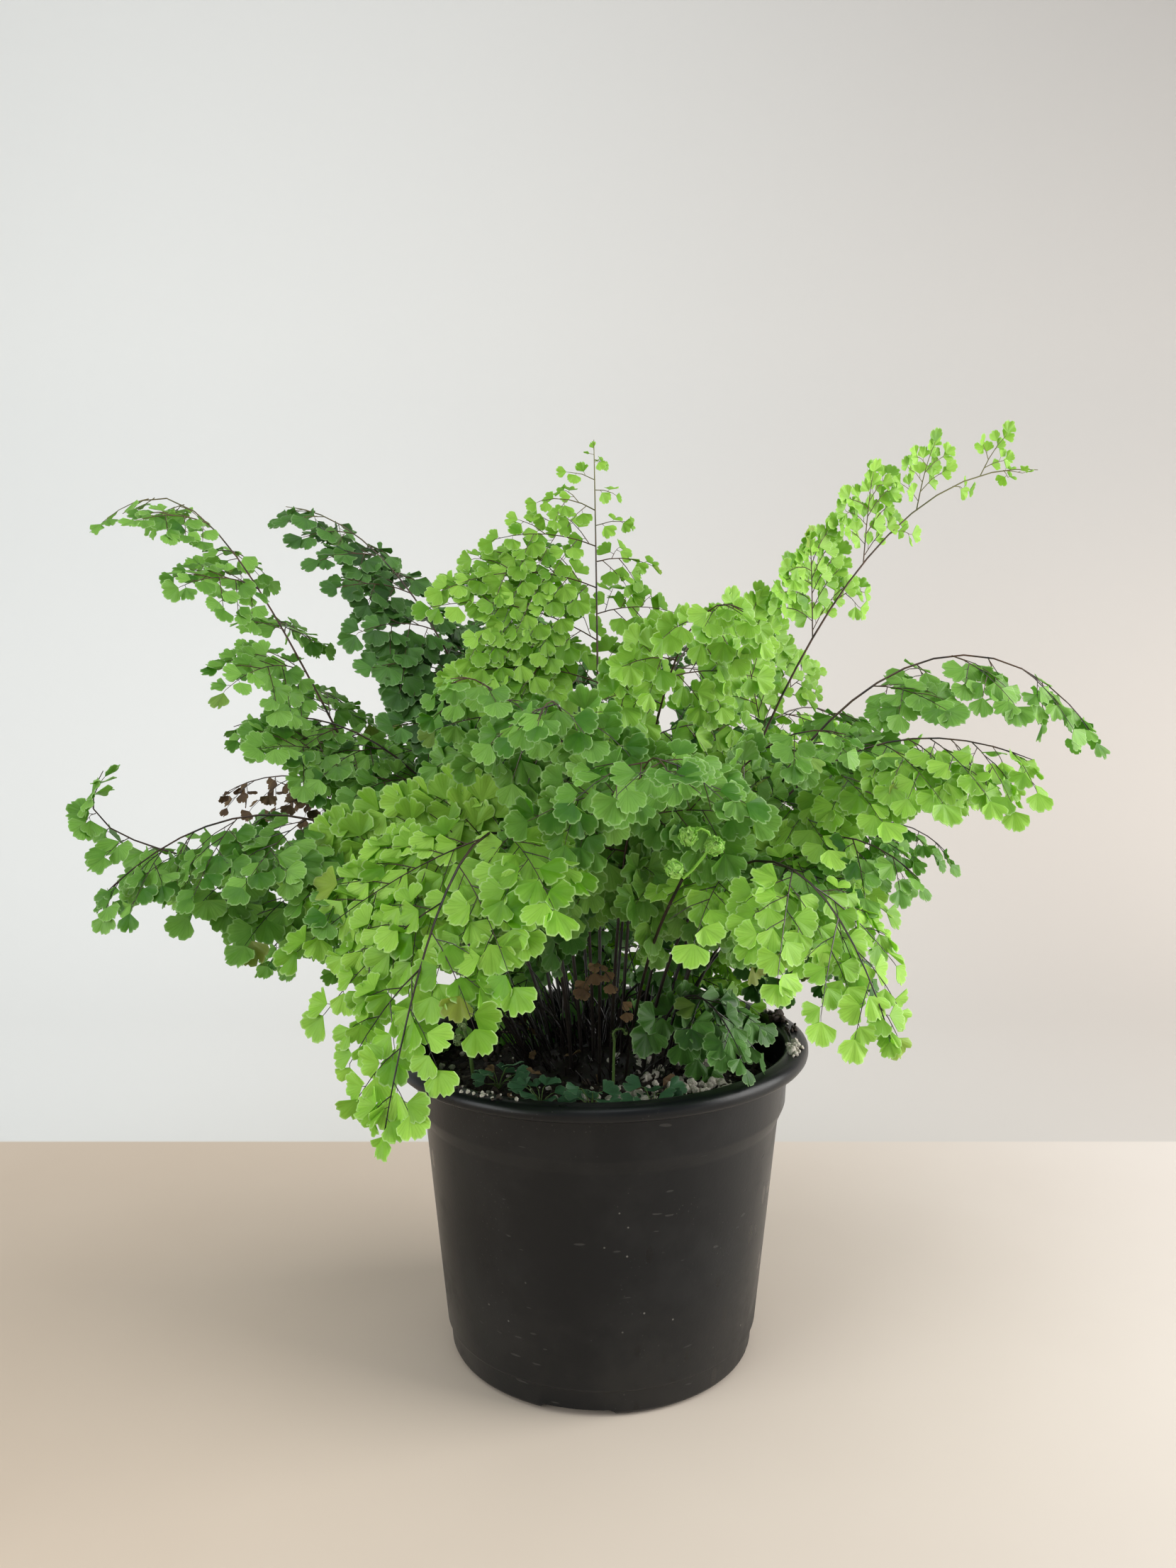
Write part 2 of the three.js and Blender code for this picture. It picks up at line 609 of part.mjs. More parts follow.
const stalks = FRONDS.map((frond) => stalkOf(frond));
const croziers = CROZIERS.map((crozier) => {
  const { azimuth, distance } = crozier;
  const base = distance < RHIZOME_RADIUS ? crownHeight(distance) - 2 : soilHeight(distance) - 2;
  const made = makeCrozier({ ...crozier, foot: polar(azimuth, distance, base) });
  return { ...made, inRhizome: distance < RHIZOME_RADIUS };
});
const sporelings = SPORELINGS.map((sporeling, i) => makeSporeling(sporeling, i));

const pot = makePot();
const seat = solidOf(lathe(rhizomeProfile(CLEARANCE), 18));
const loose = [...croziers.filter((crozier) => !crozier.inRhizome), ...sporelings];
const soil = makeSoil([seat, ...loose.map((item) => item.plug)]);
const rooted = [...stalks, ...croziers.filter((crozier) => crozier.inRhizome)];
const rhizome = makeRhizome(rooted);

addPart("pot", "pot", pot);
addPart("soil", "soil", soil);
addPart("rhizome", "rhizome", rhizome);
croziers.forEach(({ solid }, i) => addPart(`crozier_${i + 1}`, "crozier", solid));
sporelings.forEach(({ solid }, i) => addPart(`sporeling_${i + 1}`, "dark", solid));

// Each side branch takes the first way of lying that leaves room round everything
// already placed, full length first, and is left out where there is none.
const fixed = [pot, soil, rhizome, ...[...croziers, ...sporelings].map(({ solid }) => solid)];
const blades = FRONDS.map(() => []);
stalks.forEach((stalk, number) => {
  const others = [...fixed, ...stalks.filter((other) => other !== stalk).map((other) => other.solid)];
  others.push(...blades.flat());
  for (const branch of branchesOf(stalk, number)) {
    for (const shorten of [1, 0.8, 0.6]) {
      const twist = TWIST_TRIES.find((turn) => isClear(branchBlade(stalk, branch, turn, shorten), others));
      if (twist !== undefined) {
        blades[number].push(branchBlade(stalk, branch, twist, shorten));
        break;
      }
    }
  }
});
stalks.forEach(({ frond, solid }, number) => {
  addPart(`frond_${frond.name}`, frond.tone, mainBody(join([solid, ...blades[number]])));
});

export default group;
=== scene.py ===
# %% [markdown]
# # A potted maidenhair fern
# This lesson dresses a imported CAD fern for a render. The CAD model fixes the size and place of
# every part. Here each part gets the fine shape and finish that the real one has: the scuffed
# black nursery pot, the peaty mix with its white perlite, the wiry stalks and the thousands of
# small fan-shaped leaflets.

# %% Load the frame
import math

import bmesh
import bpy
import numpy as np
from mathutils import Matrix, Vector, noise


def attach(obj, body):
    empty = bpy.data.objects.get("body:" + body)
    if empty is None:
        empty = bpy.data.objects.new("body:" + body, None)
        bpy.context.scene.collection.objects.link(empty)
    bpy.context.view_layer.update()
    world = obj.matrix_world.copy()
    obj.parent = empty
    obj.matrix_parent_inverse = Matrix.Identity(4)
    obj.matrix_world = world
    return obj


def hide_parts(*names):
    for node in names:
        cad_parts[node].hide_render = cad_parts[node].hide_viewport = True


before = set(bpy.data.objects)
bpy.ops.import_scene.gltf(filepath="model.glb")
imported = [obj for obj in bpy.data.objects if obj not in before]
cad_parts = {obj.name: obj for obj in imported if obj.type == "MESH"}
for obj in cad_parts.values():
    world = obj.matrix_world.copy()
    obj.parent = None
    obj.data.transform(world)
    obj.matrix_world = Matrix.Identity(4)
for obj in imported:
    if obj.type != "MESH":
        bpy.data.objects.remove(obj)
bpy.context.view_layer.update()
MM = 0.001

# %% [markdown]
# ## The camera
# The photograph was taken with a phone's wide lens from close by, a little above the leaves.
# The pot's rim and foot are circles of known size, so the way they look fixes the camera's
# place, tilt and focal length. The image is upright, so Blender fits the sensor's width to
# its height.

# %% The camera
CAMERA_PLACE = (-5.4 * MM, -467 * MM, 264 * MM)
CAMERA_TILT = math.radians(90 - 4.7)
SENSOR = 36.0
FOCAL_PIXELS, IMAGE_HEIGHT = 1661, 2212


def make_camera():
    lens = bpy.data.cameras.new("camera")
    lens.sensor_width = SENSOR
    lens.lens = SENSOR * FOCAL_PIXELS / IMAGE_HEIGHT
    lens.clip_start = 0.01
    camera = bpy.data.objects.new("camera", lens)
    camera.location = CAMERA_PLACE
    camera.rotation_euler = (CAMERA_TILT, 0, 0)
    bpy.context.collection.objects.link(camera)
    bpy.context.scene.camera = camera
    return lens


print("lens in mm:", round(make_camera().lens, 2))

# %% [markdown]
# ## Maths on shader sockets
# A finish is a small sum over patterns: some noise plus some scratches, times a mask. Written
# with nodes alone that takes a page of links. This class wraps a socket so that plain Python
# expressions add the Math nodes, and one method makes every other kind of node.


# %% Shader helpers
class Wire:
    """A shader socket that can be summed and multiplied like a number."""

    def __init__(self, finish, socket):
        self.finish = finish
        self.socket = socket

    def maths(self, operation, first, second):
        return self.finish.node("ShaderNodeMath", {"operation": operation}, {0: first, 1: second})

    def __add__(self, other):
        return self.maths("ADD", self, other)

    def __sub__(self, other):
        return self.maths("SUBTRACT", self, other)

    def __rsub__(self, other):
        return self.maths("SUBTRACT", other, self)

    def __mul__(self, other):
        return self.maths("MULTIPLY", self, other)

    def __gt__(self, other):
        return self.maths("GREATER_THAN", self, other)

    __radd__ = __add__
    __rmul__ = __mul__

    def sine(self):
        return self.finish.node("ShaderNodeMath", {"operation": "SINE"}, {0: self})

    def between(self, low, high, start=0.0, end=1.0):
        """The value stretched so that low gives start and high gives end, held outside them."""
        inputs = {"From Min": low, "From Max": high, "To Min": start, "To Max": end, "Value": self}
        return self.finish.node("ShaderNodeMapRange", {"interpolation_type": "SMOOTHSTEP"}, inputs)


class Finish:
    """A new material with a Principled shader, and the nodes that feed it."""

    def __init__(self, name):
        self.material = bpy.data.materials.new(name)
        self.material.use_nodes = True
        self.tree = self.material.node_tree
        self.shader = self.tree.nodes["Principled BSDF"]
        self.place = self.node("ShaderNodeTexCoord", output="Object")

    def node(self, kind, settings=None, inputs=None, output=0):
        """A node of any type: its settings first, then the values or wires of its sockets."""
        made = self.tree.nodes.new(kind)
        for name, value in (settings or {}).items():
            setattr(made, name, value)
        for name, value in (inputs or {}).items():
            self.link(value, made.inputs[name])
        return Wire(self, made.outputs[output])

    def link(self, value, socket):
        if isinstance(value, Wire):
            self.tree.links.new(value.socket, socket)
        elif socket.type == "RGBA" and len(value) == 3:
            socket.default_value = (*value, 1)
        else:
            socket.default_value = value

    def set(self, **values):
        """Values or wires for the Principled shader's sockets, with _ for a space."""
        for name, value in values.items():
            self.link(value, self.shader.inputs[name.replace("_", " ")])

    def noise(self, scale, detail=3.0, roughness=0.55, vector=None):
        """Noise from 0 to 1 with features about 1/scale metres across."""
        inputs = {"Vector": vector or self.place, "Scale": scale, "Detail": detail, "Roughness": roughness}
        return self.node("ShaderNodeTexNoise", None, inputs)

    def cells(self, scale, output="Distance", vector=None):
        """Cells about 1/scale metres across, by default as the distance to the nearest middle."""
        inputs = {"Vector": vector or self.place, "Scale": scale}
        return self.node("ShaderNodeTexVoronoi", None, inputs, output)

    def axis(self, number, vector=None):
        """One of the three numbers of a vector, by default of the place on the object."""
        return self.node("ShaderNodeSeparateXYZ", None, {"Vector": vector or self.place}, number)

    def mix(self, factor, first, second):
        """Two colours, mixed by a factor from 0 to 1."""
        settings = {"data_type": "RGBA", "clamp_factor": True}
        return self.node("ShaderNodeMix", settings, {0: factor, 6: first, 7: second}, output=2)

    def bump(self, height, distance, strength):
        """Relief from a height of 0 to 1, as deep as distance in metres."""
        inputs = {"Height": height, "Distance": distance, "Strength": strength}
        self.set(Normal=self.node("ShaderNodeBump", None, inputs))

    def mapped(self, scale, turn=(0, 0, 0)):
        """The place on the object, turned and stretched before a pattern reads it."""
        inputs = {"Vector": self.place, "Rotation": turn, "Scale": scale}
        return self.node("ShaderNodeMapping", None, inputs)


# %% [markdown]
# ## Floor and light
# The fern stands on a pale floor that sweeps up far behind it, so that nothing draws the eye
# from the leaves and no view from the back is blocked. Its warm tone ends in a line a little
# way behind the pot, and beyond that line the backdrop is a cooler grey. The floor is painted
# darker on the left as a painted shadow. The backdrop is painted lighter low down and on the
# left, and darker high up and on the right, as painted light and shade. The light is soft
# and comes mostly from the right, low enough to reach the pot's right edge. One large lamp
# gives it, two weaker ones on the left and above soften the shadows, and the world gives the
# rest.


# %% Floor, backdrop and lamps
# In metres, with +Y to the back: the floor, its sweep, and the line where the tones meet
FLOOR_SIZE = 8
FLOOR_END = 1.2
SWEEP_HEIGHT = 3
SWEEP_ROUNDING = 0.75
TONE_LINE = 0.2
LINE_BLUR = 0.002
WORLD_LIGHT = 0.40
# Each lamp's name, place, aim, size in metres, power in watts and colour
LAMPS = [
    ("key", (1.5, -0.2, 0.55), (0, 0, 0.15), 1.2, 33, (1.0, 0.985, 0.965)),
    ("fill", (-1.5, -1.0, 0.4), (0, 0, 0.15), 1.3, 20, (0.97, 1.0, 1.0)),
    ("top", (-0.1, -0.7, 1.6), (0, 0, 0.2), 1.2, 9, (0.92, 0.97, 1.0)),
]


def make_stage_finish():
    stage = Finish("stage_tones_and_painted_light")
    grain = stage.noise(6.0)
    across, back, upward = (stage.axis(number) for number in range(3))
    # Painted shadow: the floor's tone is darker on the left, where the fern's shadow falls, and lighter on
    # the right
    left = stage.mix(grain, (0.62, 0.50, 0.385), (0.70, 0.58, 0.46))
    right = stage.mix(grain, (0.76, 0.695, 0.635), (0.82, 0.76, 0.70))
    floor_with_painted_shadow = stage.mix(across.between(-0.3, 0.5), left, right)
    # Painted light and shade: the backdrop is lighter low down and on the left, and darker high up and on
    # the right
    low = stage.mix(across.between(-0.5, 0.55), (0.84, 0.84, 0.815), (0.60, 0.55, 0.50))
    high = stage.mix(across.between(-0.9, 0.9), (0.77, 0.785, 0.775), (0.47, 0.455, 0.435))
    backdrop_with_painted_light = stage.mix(upward.between(0.02, 0.7), low, high)
    beyond = back.between(TONE_LINE - LINE_BLUR, TONE_LINE + LINE_BLUR)
    stage.set(Base_Color=stage.mix(beyond, floor_with_painted_shadow, backdrop_with_painted_light), Roughness=0.75)
    return stage.material


def choose_far_edge(mesh):
    """Selects the floor's far edge alone, so that the next operator works on it."""
    bpy.ops.mesh.select_all(action="DESELECT")
    shell = bmesh.from_edit_mesh(mesh)
    for edge in shell.edges:
        far = all(v.co.y > FLOOR_END - 0.01 for v in edge.verts)
        low = all(abs(v.co.z) < 0.01 for v in edge.verts)
        edge.select_set(far and low)
    bmesh.update_edit_mesh(mesh)


def make_stage():
    bpy.ops.mesh.primitive_plane_add(size=FLOOR_SIZE, location=(0, FLOOR_END - FLOOR_SIZE / 2, 0))
    stage = bpy.context.object
    stage.name = "floor_with_painted_shadow"
    bpy.ops.object.transform_apply(location=True)
    bpy.ops.object.mode_set(mode="EDIT")
    bpy.ops.mesh.select_mode(type="EDGE")
    choose_far_edge(stage.data)
    bpy.ops.mesh.extrude_region_move(TRANSFORM_OT_translate={"value": (0, 0, SWEEP_HEIGHT)})
    choose_far_edge(stage.data)
    bpy.ops.mesh.bevel(offset=SWEEP_ROUNDING, segments=24, affect="EDGES")
    bpy.ops.mesh.select_mode(type="VERT")
    bpy.ops.object.mode_set(mode="OBJECT")
    bpy.ops.object.shade_smooth()
    stage.data.materials.append(make_stage_finish())
    stage.select_set(False)


def add_lamp(name, place, aim, size, power, colour):
    """A square lamp that shines from place to aim and isn't seen itself."""
    lamp = bpy.data.lights.new(name, "AREA")
    lamp.size = size
    lamp.energy = power
    lamp.color = colour
    holder = bpy.data.objects.new(name, lamp)
    holder.location = place
    holder.rotation_euler = (Vector(aim) - Vector(place)).to_track_quat("-Z", "Y").to_euler()
    holder.visible_camera = False
    bpy.context.collection.objects.link(holder)


make_stage()
for lamp in LAMPS:
    add_lamp(*lamp)
world = bpy.data.worlds.new("soft_light")
world.use_nodes = True
background = world.node_tree.nodes["Background"].inputs
background["Color"].default_value = (0.95, 0.97, 1.0, 1)
background["Strength"].default_value = WORLD_LIGHT
bpy.context.scene.world = world
bpy.context.scene.view_settings.view_transform = "Standard"
print("lamps:", len(LAMPS))

# %% [markdown]
# ## Black nursery plastic
# The pot is thin injection-moulded plastic, black with a faint cold cast. Its sheen is broken
# by handling: a few pale scratches and flecks, rubbed patches, damp trails of water drops that
# look darker, and dust that gathers towards the foot. Each is one mask over the same base,
# and most change the roughness as well as the colour.


# %% Pot finish
def make_pot_finish():
    skin = Finish("pot_plastic")
    rubbed = skin.noise(38, 4, 0.6).between(0.45, 0.7)
    mottle = skin.noise(11, 4, 0.6).between(0.35, 0.7)

    def scratches(turn, scale, low):
        """Short marks along one direction: noise drawn thin, of which only the peaks show."""
        return skin.noise(scale, 1, 0.4, skin.mapped((1, 1, 4), turn)).between(low, low + 0.04)

    marks = scratches((0.7, 0.5, 0.2), 120, 0.76) + scratches((-1.1, 0.3, 0.9), 90, 0.77)
    flecks = skin.cells(150).between(0.035, 0.075, 1, 0) * skin.noise(21, 2).between(0.52, 0.62)
    specks = skin.cells(520).between(0.09, 0.16, 1, 0) * skin.noise(34, 2).between(0.54, 0.64)
    tall = skin.mapped((1, 1, 0.4))
    trails = skin.noise(14, 1).between(0.52, 0.58)
    drops = skin.cells(120, vector=tall).between(0.16, 0.22, 1, 0) * trails
    dust = skin.axis(2).between(0.0, 0.06, 1.0, 0.0) * skin.noise(24, 4, 0.7).between(0.4, 0.75)
    base = skin.mix(mottle, (0.0026, 0.0035, 0.0046), (0.0055, 0.0064, 0.0075))
    worn = skin.mix(rubbed * 0.4, base, (0.0145, 0.0150, 0.0152))
    wet = skin.mix(drops * 0.6, worn, (0.003, 0.003, 0.003))
    marked = skin.mix(marks * 0.4 + specks * 0.35, wet, (0.07, 0.067, 0.062))
    spotted = skin.mix(flecks * 0.6, marked, (0.22, 0.21, 0.19))
    skin.set(
        Base_Color=skin.mix(dust * 0.22, spotted, (0.07, 0.062, 0.05)),
        Roughness=rubbed * 0.1 + marks * 0.15 + dust * 0.3 - drops * 0.1 + 0.3,
        Specular_IOR_Level=0.27,
    )
    skin.bump(skin.noise(900, 2) * 0.2 + skin.noise(60, 2) * 0.6 - marks * 0.4, 0.00022, 0.6)
    return skin.material


pot_finish = make_pot_finish()
print("pot finish nodes:", len(pot_finish.node_tree.nodes))

# %% [markdown]
# ## The pot
# The real pot is moulded in one piece, and it is round, so a maker draws half of its section
# and spins it. A vertex is pushed along the section point by point, the line is spun about
# the axis, and the seam is merged. The arched drain notches of the foot are cut by blocks
# with a Boolean, and the rim is then tilted a little, because the real rim has warped.

# %% Pot section
POT_HEIGHT = 123.0
SOIL_TOP = POT_HEIGHT - 15
RIM_TILT = 0.026
# Half of the pot's section, as radius and height: out along the foot, up, over the lip and down inside
POT_SECTION = [
    (0.0, 0.0), (15.4, 0.0), (16.2, 0.3), (17.2, 2.2), (17.9, 2.6), (51.8, 2.6), (52.4, 2.2),
    (53.0, 0.3), (53.5, 0.0), (57.4, 0.0), (58.6, 0.3), (60.3, 1.6), (60.8, 2.6), (61.5, 10.1),
    (61.75, 10.6), (62.4, 11.1), (62.65, 11.7), (66.8, 53.0), (70.9, 94.6), (71.35, 95.9),
    (73.2, 100.2), (73.7, 101.6), (74.5, 115.9), (74.9, 116.9), (75.8, 117.2), (80.2, 117.1),
    (81.4, 117.5), (82.2, 118.4), (82.5, 119.4), (82.4, 121.0), (81.8, 122.1), (80.8, 122.8),
    (79.6, 123.0), (76.6, 123.0), (75.2, 122.7), (74.1, 121.9), (73.4, 120.6), (73.15, 117.0),
    (72.3, 102.0), (71.9, 100.7), (70.2, 96.6), (69.7, 95.0), (65.4, 53.0), (61.4, 12.4), (60.9, 11.6),
    (60.1, 11.0), (59.9, 10.4), (59.2, 4.6), (58.4, 4.1), (0.0, 4.0),
]
POT_STEPS = 120
TILT_FROM, TILT_OVER = SOIL_TOP + 3, 9
NOTCH_AZIMUTH, NOTCH_COUNT = -99, 4
NOTCH_DISTANCE, NOTCH_HEIGHT = 59.5, 0.6
NOTCH_SIZE, NOTCH_ROUNDING = (14, 28, 5), 2.6
HOLE_COUNT, HOLE_DISTANCE, HOLE_RADIUS = 6, 38, 4.5


# %% Modelling helpers
def start_fresh():
    """Leaves edit mode and deselects everything, so that an operator touches one piece."""
    if bpy.context.mode != "OBJECT":
        bpy.ops.object.mode_set(mode="OBJECT")
    bpy.ops.object.select_all(action="DESELECT")


def choose(piece):
    start_fresh()
    piece.select_set(True)
    bpy.context.view_layer.objects.active = piece


def settle(piece):
    """Puts the piece's place into its mesh, so that its object sits at the origin."""
    choose(piece)
    bpy.ops.object.transform_apply(location=True, rotation=True, scale=True)


def apply_modifier(piece, kind, **settings):
    """Adds a modifier, gives it its settings and applies it."""
    choose(piece)
    modifier = piece.modifiers.new(kind.lower(), kind)
    for name, value in settings.items():
        setattr(modifier, name, value)
    bpy.ops.object.modifier_apply(modifier=modifier.name)


def spin_section(name, section, steps):
    """A closed turned piece from half of its section, given as radius and height in mm."""
    start_fresh()
    bpy.ops.mesh.primitive_plane_add(size=MM)
    piece = bpy.context.object
    piece.name = name
    bpy.ops.object.mode_set(mode="EDIT")
    bpy.ops.mesh.merge(type="CENTER")
    radius, height = section[0]
    bpy.ops.transform.translate(value=(radius * MM, 0, height * MM))
    for (r0, z0), (r1, z1) in zip(section, section[1:]):
        move = ((r1 - r0) * MM, 0, (z1 - z0) * MM)
        bpy.ops.mesh.extrude_region_move(TRANSFORM_OT_translate={"value": move})
    bpy.ops.mesh.select_all(action="SELECT")
    bpy.ops.mesh.spin(steps=steps, angle=2 * math.pi, center=(0, 0, 0), axis=(0, 0, 1))
    bpy.ops.mesh.select_all(action="SELECT")
    bpy.ops.mesh.remove_doubles(threshold=MM * 0.01)
    bpy.ops.mesh.normals_make_consistent(inside=False)
    bpy.ops.object.mode_set(mode="OBJECT")
    return piece


def dress(piece, finish, node=None, angle=60):
    """Smooth shading, one finish, and what the frame has to know about the piece."""
    piece.data.materials.clear()
    piece.data.materials.append(finish)
    choose(piece)
    bpy.ops.object.shade_smooth_by_angle(angle=math.radians(angle))
    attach(piece, "root")
    if node:
        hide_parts(node)
    start_fresh()


def polar(azimuth, distance, height):
    """A point in mm at an azimuth in degrees, anticlockwise from +X, with -90 at the front."""
    turn = math.radians(azimuth)
    return np.array((math.cos(turn) * distance, math.sin(turn) * distance, height))


# %% Spin the pot, cut its foot and its drain holes
def cut_away(piece, cutter):
    """Takes the cutter's shape out of the piece with a Boolean, and removes the cutter."""
    apply_modifier(piece, "BOOLEAN", operation="DIFFERENCE", object=cutter, solver="EXACT")
    bpy.data.objects.remove(cutter)


def notch_block(azimuth):
    """A block across the foot with a rounded top, which cuts about 3 mm up into it."""
    start_fresh()
    middle = polar(azimuth, NOTCH_DISTANCE, NOTCH_HEIGHT) * MM
    bpy.ops.mesh.primitive_cube_add(size=1, location=middle, rotation=(0, 0, math.radians(azimuth)))
    block = bpy.context.object
    block.dimensions = [side * MM for side in NOTCH_SIZE]
    bpy.ops.object.transform_apply(location=False, rotation=False, scale=True)
    bpy.ops.object.mode_set(mode="EDIT")
    bpy.ops.mesh.select_all(action="DESELECT")
    mesh = bmesh.from_edit_mesh(block.data)
    for edge in mesh.edges:
        top = all(v.co.z > 0 for v in edge.verts)
        across = abs(edge.verts[0].co.y - edge.verts[1].co.y) < 1e-6
        edge.select_set(top and across)
    bmesh.update_edit_mesh(block.data)
    bpy.ops.mesh.bevel(offset=NOTCH_ROUNDING * MM, segments=5)
    bpy.ops.object.mode_set(mode="OBJECT")
    return block


def make_pot():
    pot = spin_section("pot_shell", POT_SECTION, POT_STEPS)
    for i in range(NOTCH_COUNT):
        cut_away(pot, notch_block(NOTCH_AZIMUTH + 360 * i / NOTCH_COUNT))
    for i in range(HOLE_COUNT):
        start_fresh()
        place = polar(360 * i / HOLE_COUNT, HOLE_DISTANCE, 3) * MM
        drill = {"vertices": 24, "radius": HOLE_RADIUS * MM, "depth": 8 * MM}
        bpy.ops.mesh.primitive_cylinder_add(**drill, location=place)
        cut_away(pot, bpy.context.object)
    for vertex in pot.data.vertices:
        share = min(max((vertex.co.z / MM - TILT_FROM) / TILT_OVER, 0), 1)
        vertex.co.z += RIM_TILT * vertex.co.x * share
    settle(pot)
    dress(pot, pot_finish, "pot", angle=35)
    print("pot faces:", len(pot.data.polygons))


make_pot()

# %% [markdown]
# ## Potting mix
# The mix is dark peat with bark crumbs and white perlite. Its top is a crumbly mound that
# stands about 15 mm below the rim. The body is drawn as rings: one edge loop is extruded
# inwards ring by ring, which gives even small faces, and noise of three sizes then pushes the
# faces up and down. Crumbs and perlite grains are separate small stones, strewn on top.


# %% Mix, perlite and bark finishes
def make_mix_finish():
    peat = Finish("potting_mix")
    lumps = peat.noise(220, 5, 0.7)
    damp = peat.noise(28, 3).between(0.4, 0.65)
    bits = peat.cells(700, output="Color")
    dark = peat.mix(damp, (0.0075, 0.0055, 0.0045), (0.019, 0.0135, 0.0095))
    brown = peat.mix(lumps.between(0.5, 0.72), dark, (0.045, 0.031, 0.021))
    grain = peat.node("ShaderNodeSeparateColor", None, {"Color": bits})
    peat.set(
        Base_Color=peat.mix((grain > 0.965) * 0.55, brown, (0.22, 0.19, 0.15)),
        Roughness=lumps * 0.2 + 0.75,
        Specular_IOR_Level=0.3,
    )
    peat.bump(lumps + peat.cells(900) * 0.5, 0.0012, 0.9)
    return peat.material


def make_stone_finish(name, pale, shaded, roughness, size):
    """A matt, pitted stone. The pits are about 1/size metres wide."""
    stone = Finish(name)
    pits = stone.noise(size, 4, 0.65)
    whole = stone.noise(90, 1)
    colour = stone.mix(pits.between(0.35, 0.62), shaded, pale)
    stone.set(
        Base_Color=stone.mix(whole.between(0.3, 0.7) * 0.5, colour, shaded),
        Roughness=pits * 0.2 + roughness,
    )
    stone.bump(pits, 0.0004, 0.8)
    return stone.material


mix_finish = make_mix_finish()
perlite_finish = make_stone_finish("perlite", (0.70, 0.66, 0.585), (0.40, 0.365, 0.31), 0.75, 1500)
bark_finish = make_stone_finish("bark_crumb", (0.052, 0.034, 0.022), (0.014, 0.0095, 0.007), 0.7, 900)

# %% Body of the mix
SOIL_EDGE = 71.9
SOIL_MOUND = 6.0
# The width and the height in mm of each kind of lump, from clods to crumbs
SOIL_LUMPS = [(11, 2.2), (4.2, 1.3), (1.9, 0.9)]
# The body under the top, as radius and height, down along the pot's wall
SOIL_WALL = [(71.7, 102.0), (69.2, 95.0), (60.8, 12.4), (59.4, 11.0), (58.6, 4.4)]
SOIL_RINGS, SOIL_STEPS = 34, 150


def soil_height(x, y):
    """The height of the mix's top in mm, with its lumps."""
    radius = math.hypot(x, y)
    share = min(radius / SOIL_EDGE, 1)
    mound = SOIL_TOP + SOIL_MOUND * (1 - share ** 2)
    spot = Vector((x, y, 0))
    rough = sum(height * noise.noise(spot / width) for width, height in SOIL_LUMPS)
    return mound + rough * (1 - 0.4 * share)


def make_soil():
    start_fresh()
    place = (0, 0, SOIL_TOP * MM)
    bpy.ops.mesh.primitive_circle_add(vertices=SOIL_STEPS, radius=SOIL_EDGE * MM, location=place)
    soil = bpy.context.object
    soil.name = "potting_mix"
    bpy.ops.object.mode_set(mode="EDIT")
    last = SOIL_EDGE
    for ring in range(1, SOIL_RINGS):
        radius = SOIL_EDGE * (1 - ring / SOIL_RINGS)
        bpy.ops.mesh.extrude_edges_move()
        bpy.ops.transform.resize(value=(radius / last, radius / last, 1))
        last = radius
    bpy.ops.mesh.edge_face_add()
    bpy.ops.mesh.select_all(action="DESELECT")
    bpy.ops.mesh.select_mode(type="EDGE")
    mesh = bmesh.from_edit_mesh(soil.data)
    for edge in mesh.edges:
        edge.select_set(edge.is_boundary)
    bmesh.update_edit_mesh(soil.data)
    radius, height = SOIL_EDGE, SOIL_TOP
    for next_radius, next_height in SOIL_WALL:
        move = {"value": (0, 0, (next_height - height) * MM)}
        bpy.ops.mesh.extrude_region_move(TRANSFORM_OT_translate=move)
        share = next_radius / radius
        bpy.ops.transform.resize(value=(share, share, 1), center_override=(0, 0, 0))
        radius, height = next_radius, next_height
    bpy.ops.mesh.edge_face_add()
    bpy.ops.mesh.select_all(action="SELECT")
    bpy.ops.mesh.normals_make_consistent(inside=False)
    bpy.ops.object.mode_set(mode="OBJECT")
    settle(soil)
    for vertex in soil.data.vertices:
        if vertex.co.z > (SOIL_TOP - 1) * MM:
            vertex.co.z = soil_height(vertex.co.x / MM, vertex.co.y / MM) * MM
    dress(soil, mix_finish, "soil", angle=180)
    print("mix faces:", len(soil.data.polygons))


make_soil()

# %% [markdown]
# ## Copies in one mesh
# Perlite grains, crumbs and leaflets are each modelled once or a few times and then laid
# hundreds of times. A copy is only the first shape's points, turned, scaled and moved, so one
# helper gathers many of them into a single piece with its own mesh. It also carries two sets
# of flat coordinates: where a point lies on its own shape, and two numbers that are drawn
# once for each copy, so that a finish can make every copy a little different.


# %% Gather copies
class Shape:
    """The points, faces and flat coordinates of a modelled shape, in mm."""

    def __init__(self, piece):
        mesh = piece.data
        self.points = np.array([tuple(v.co) for v in mesh.vertices]) / MM
        self.faces = [tuple(p.vertices) for p in mesh.polygons]
        layer = mesh.uv_layers.get("own")
        self.own = np.zeros((len(mesh.loops), 2))
        if layer:
            self.own = np.array([tuple(loop.uv) for loop in layer.data])
        bpy.data.objects.remove(piece)


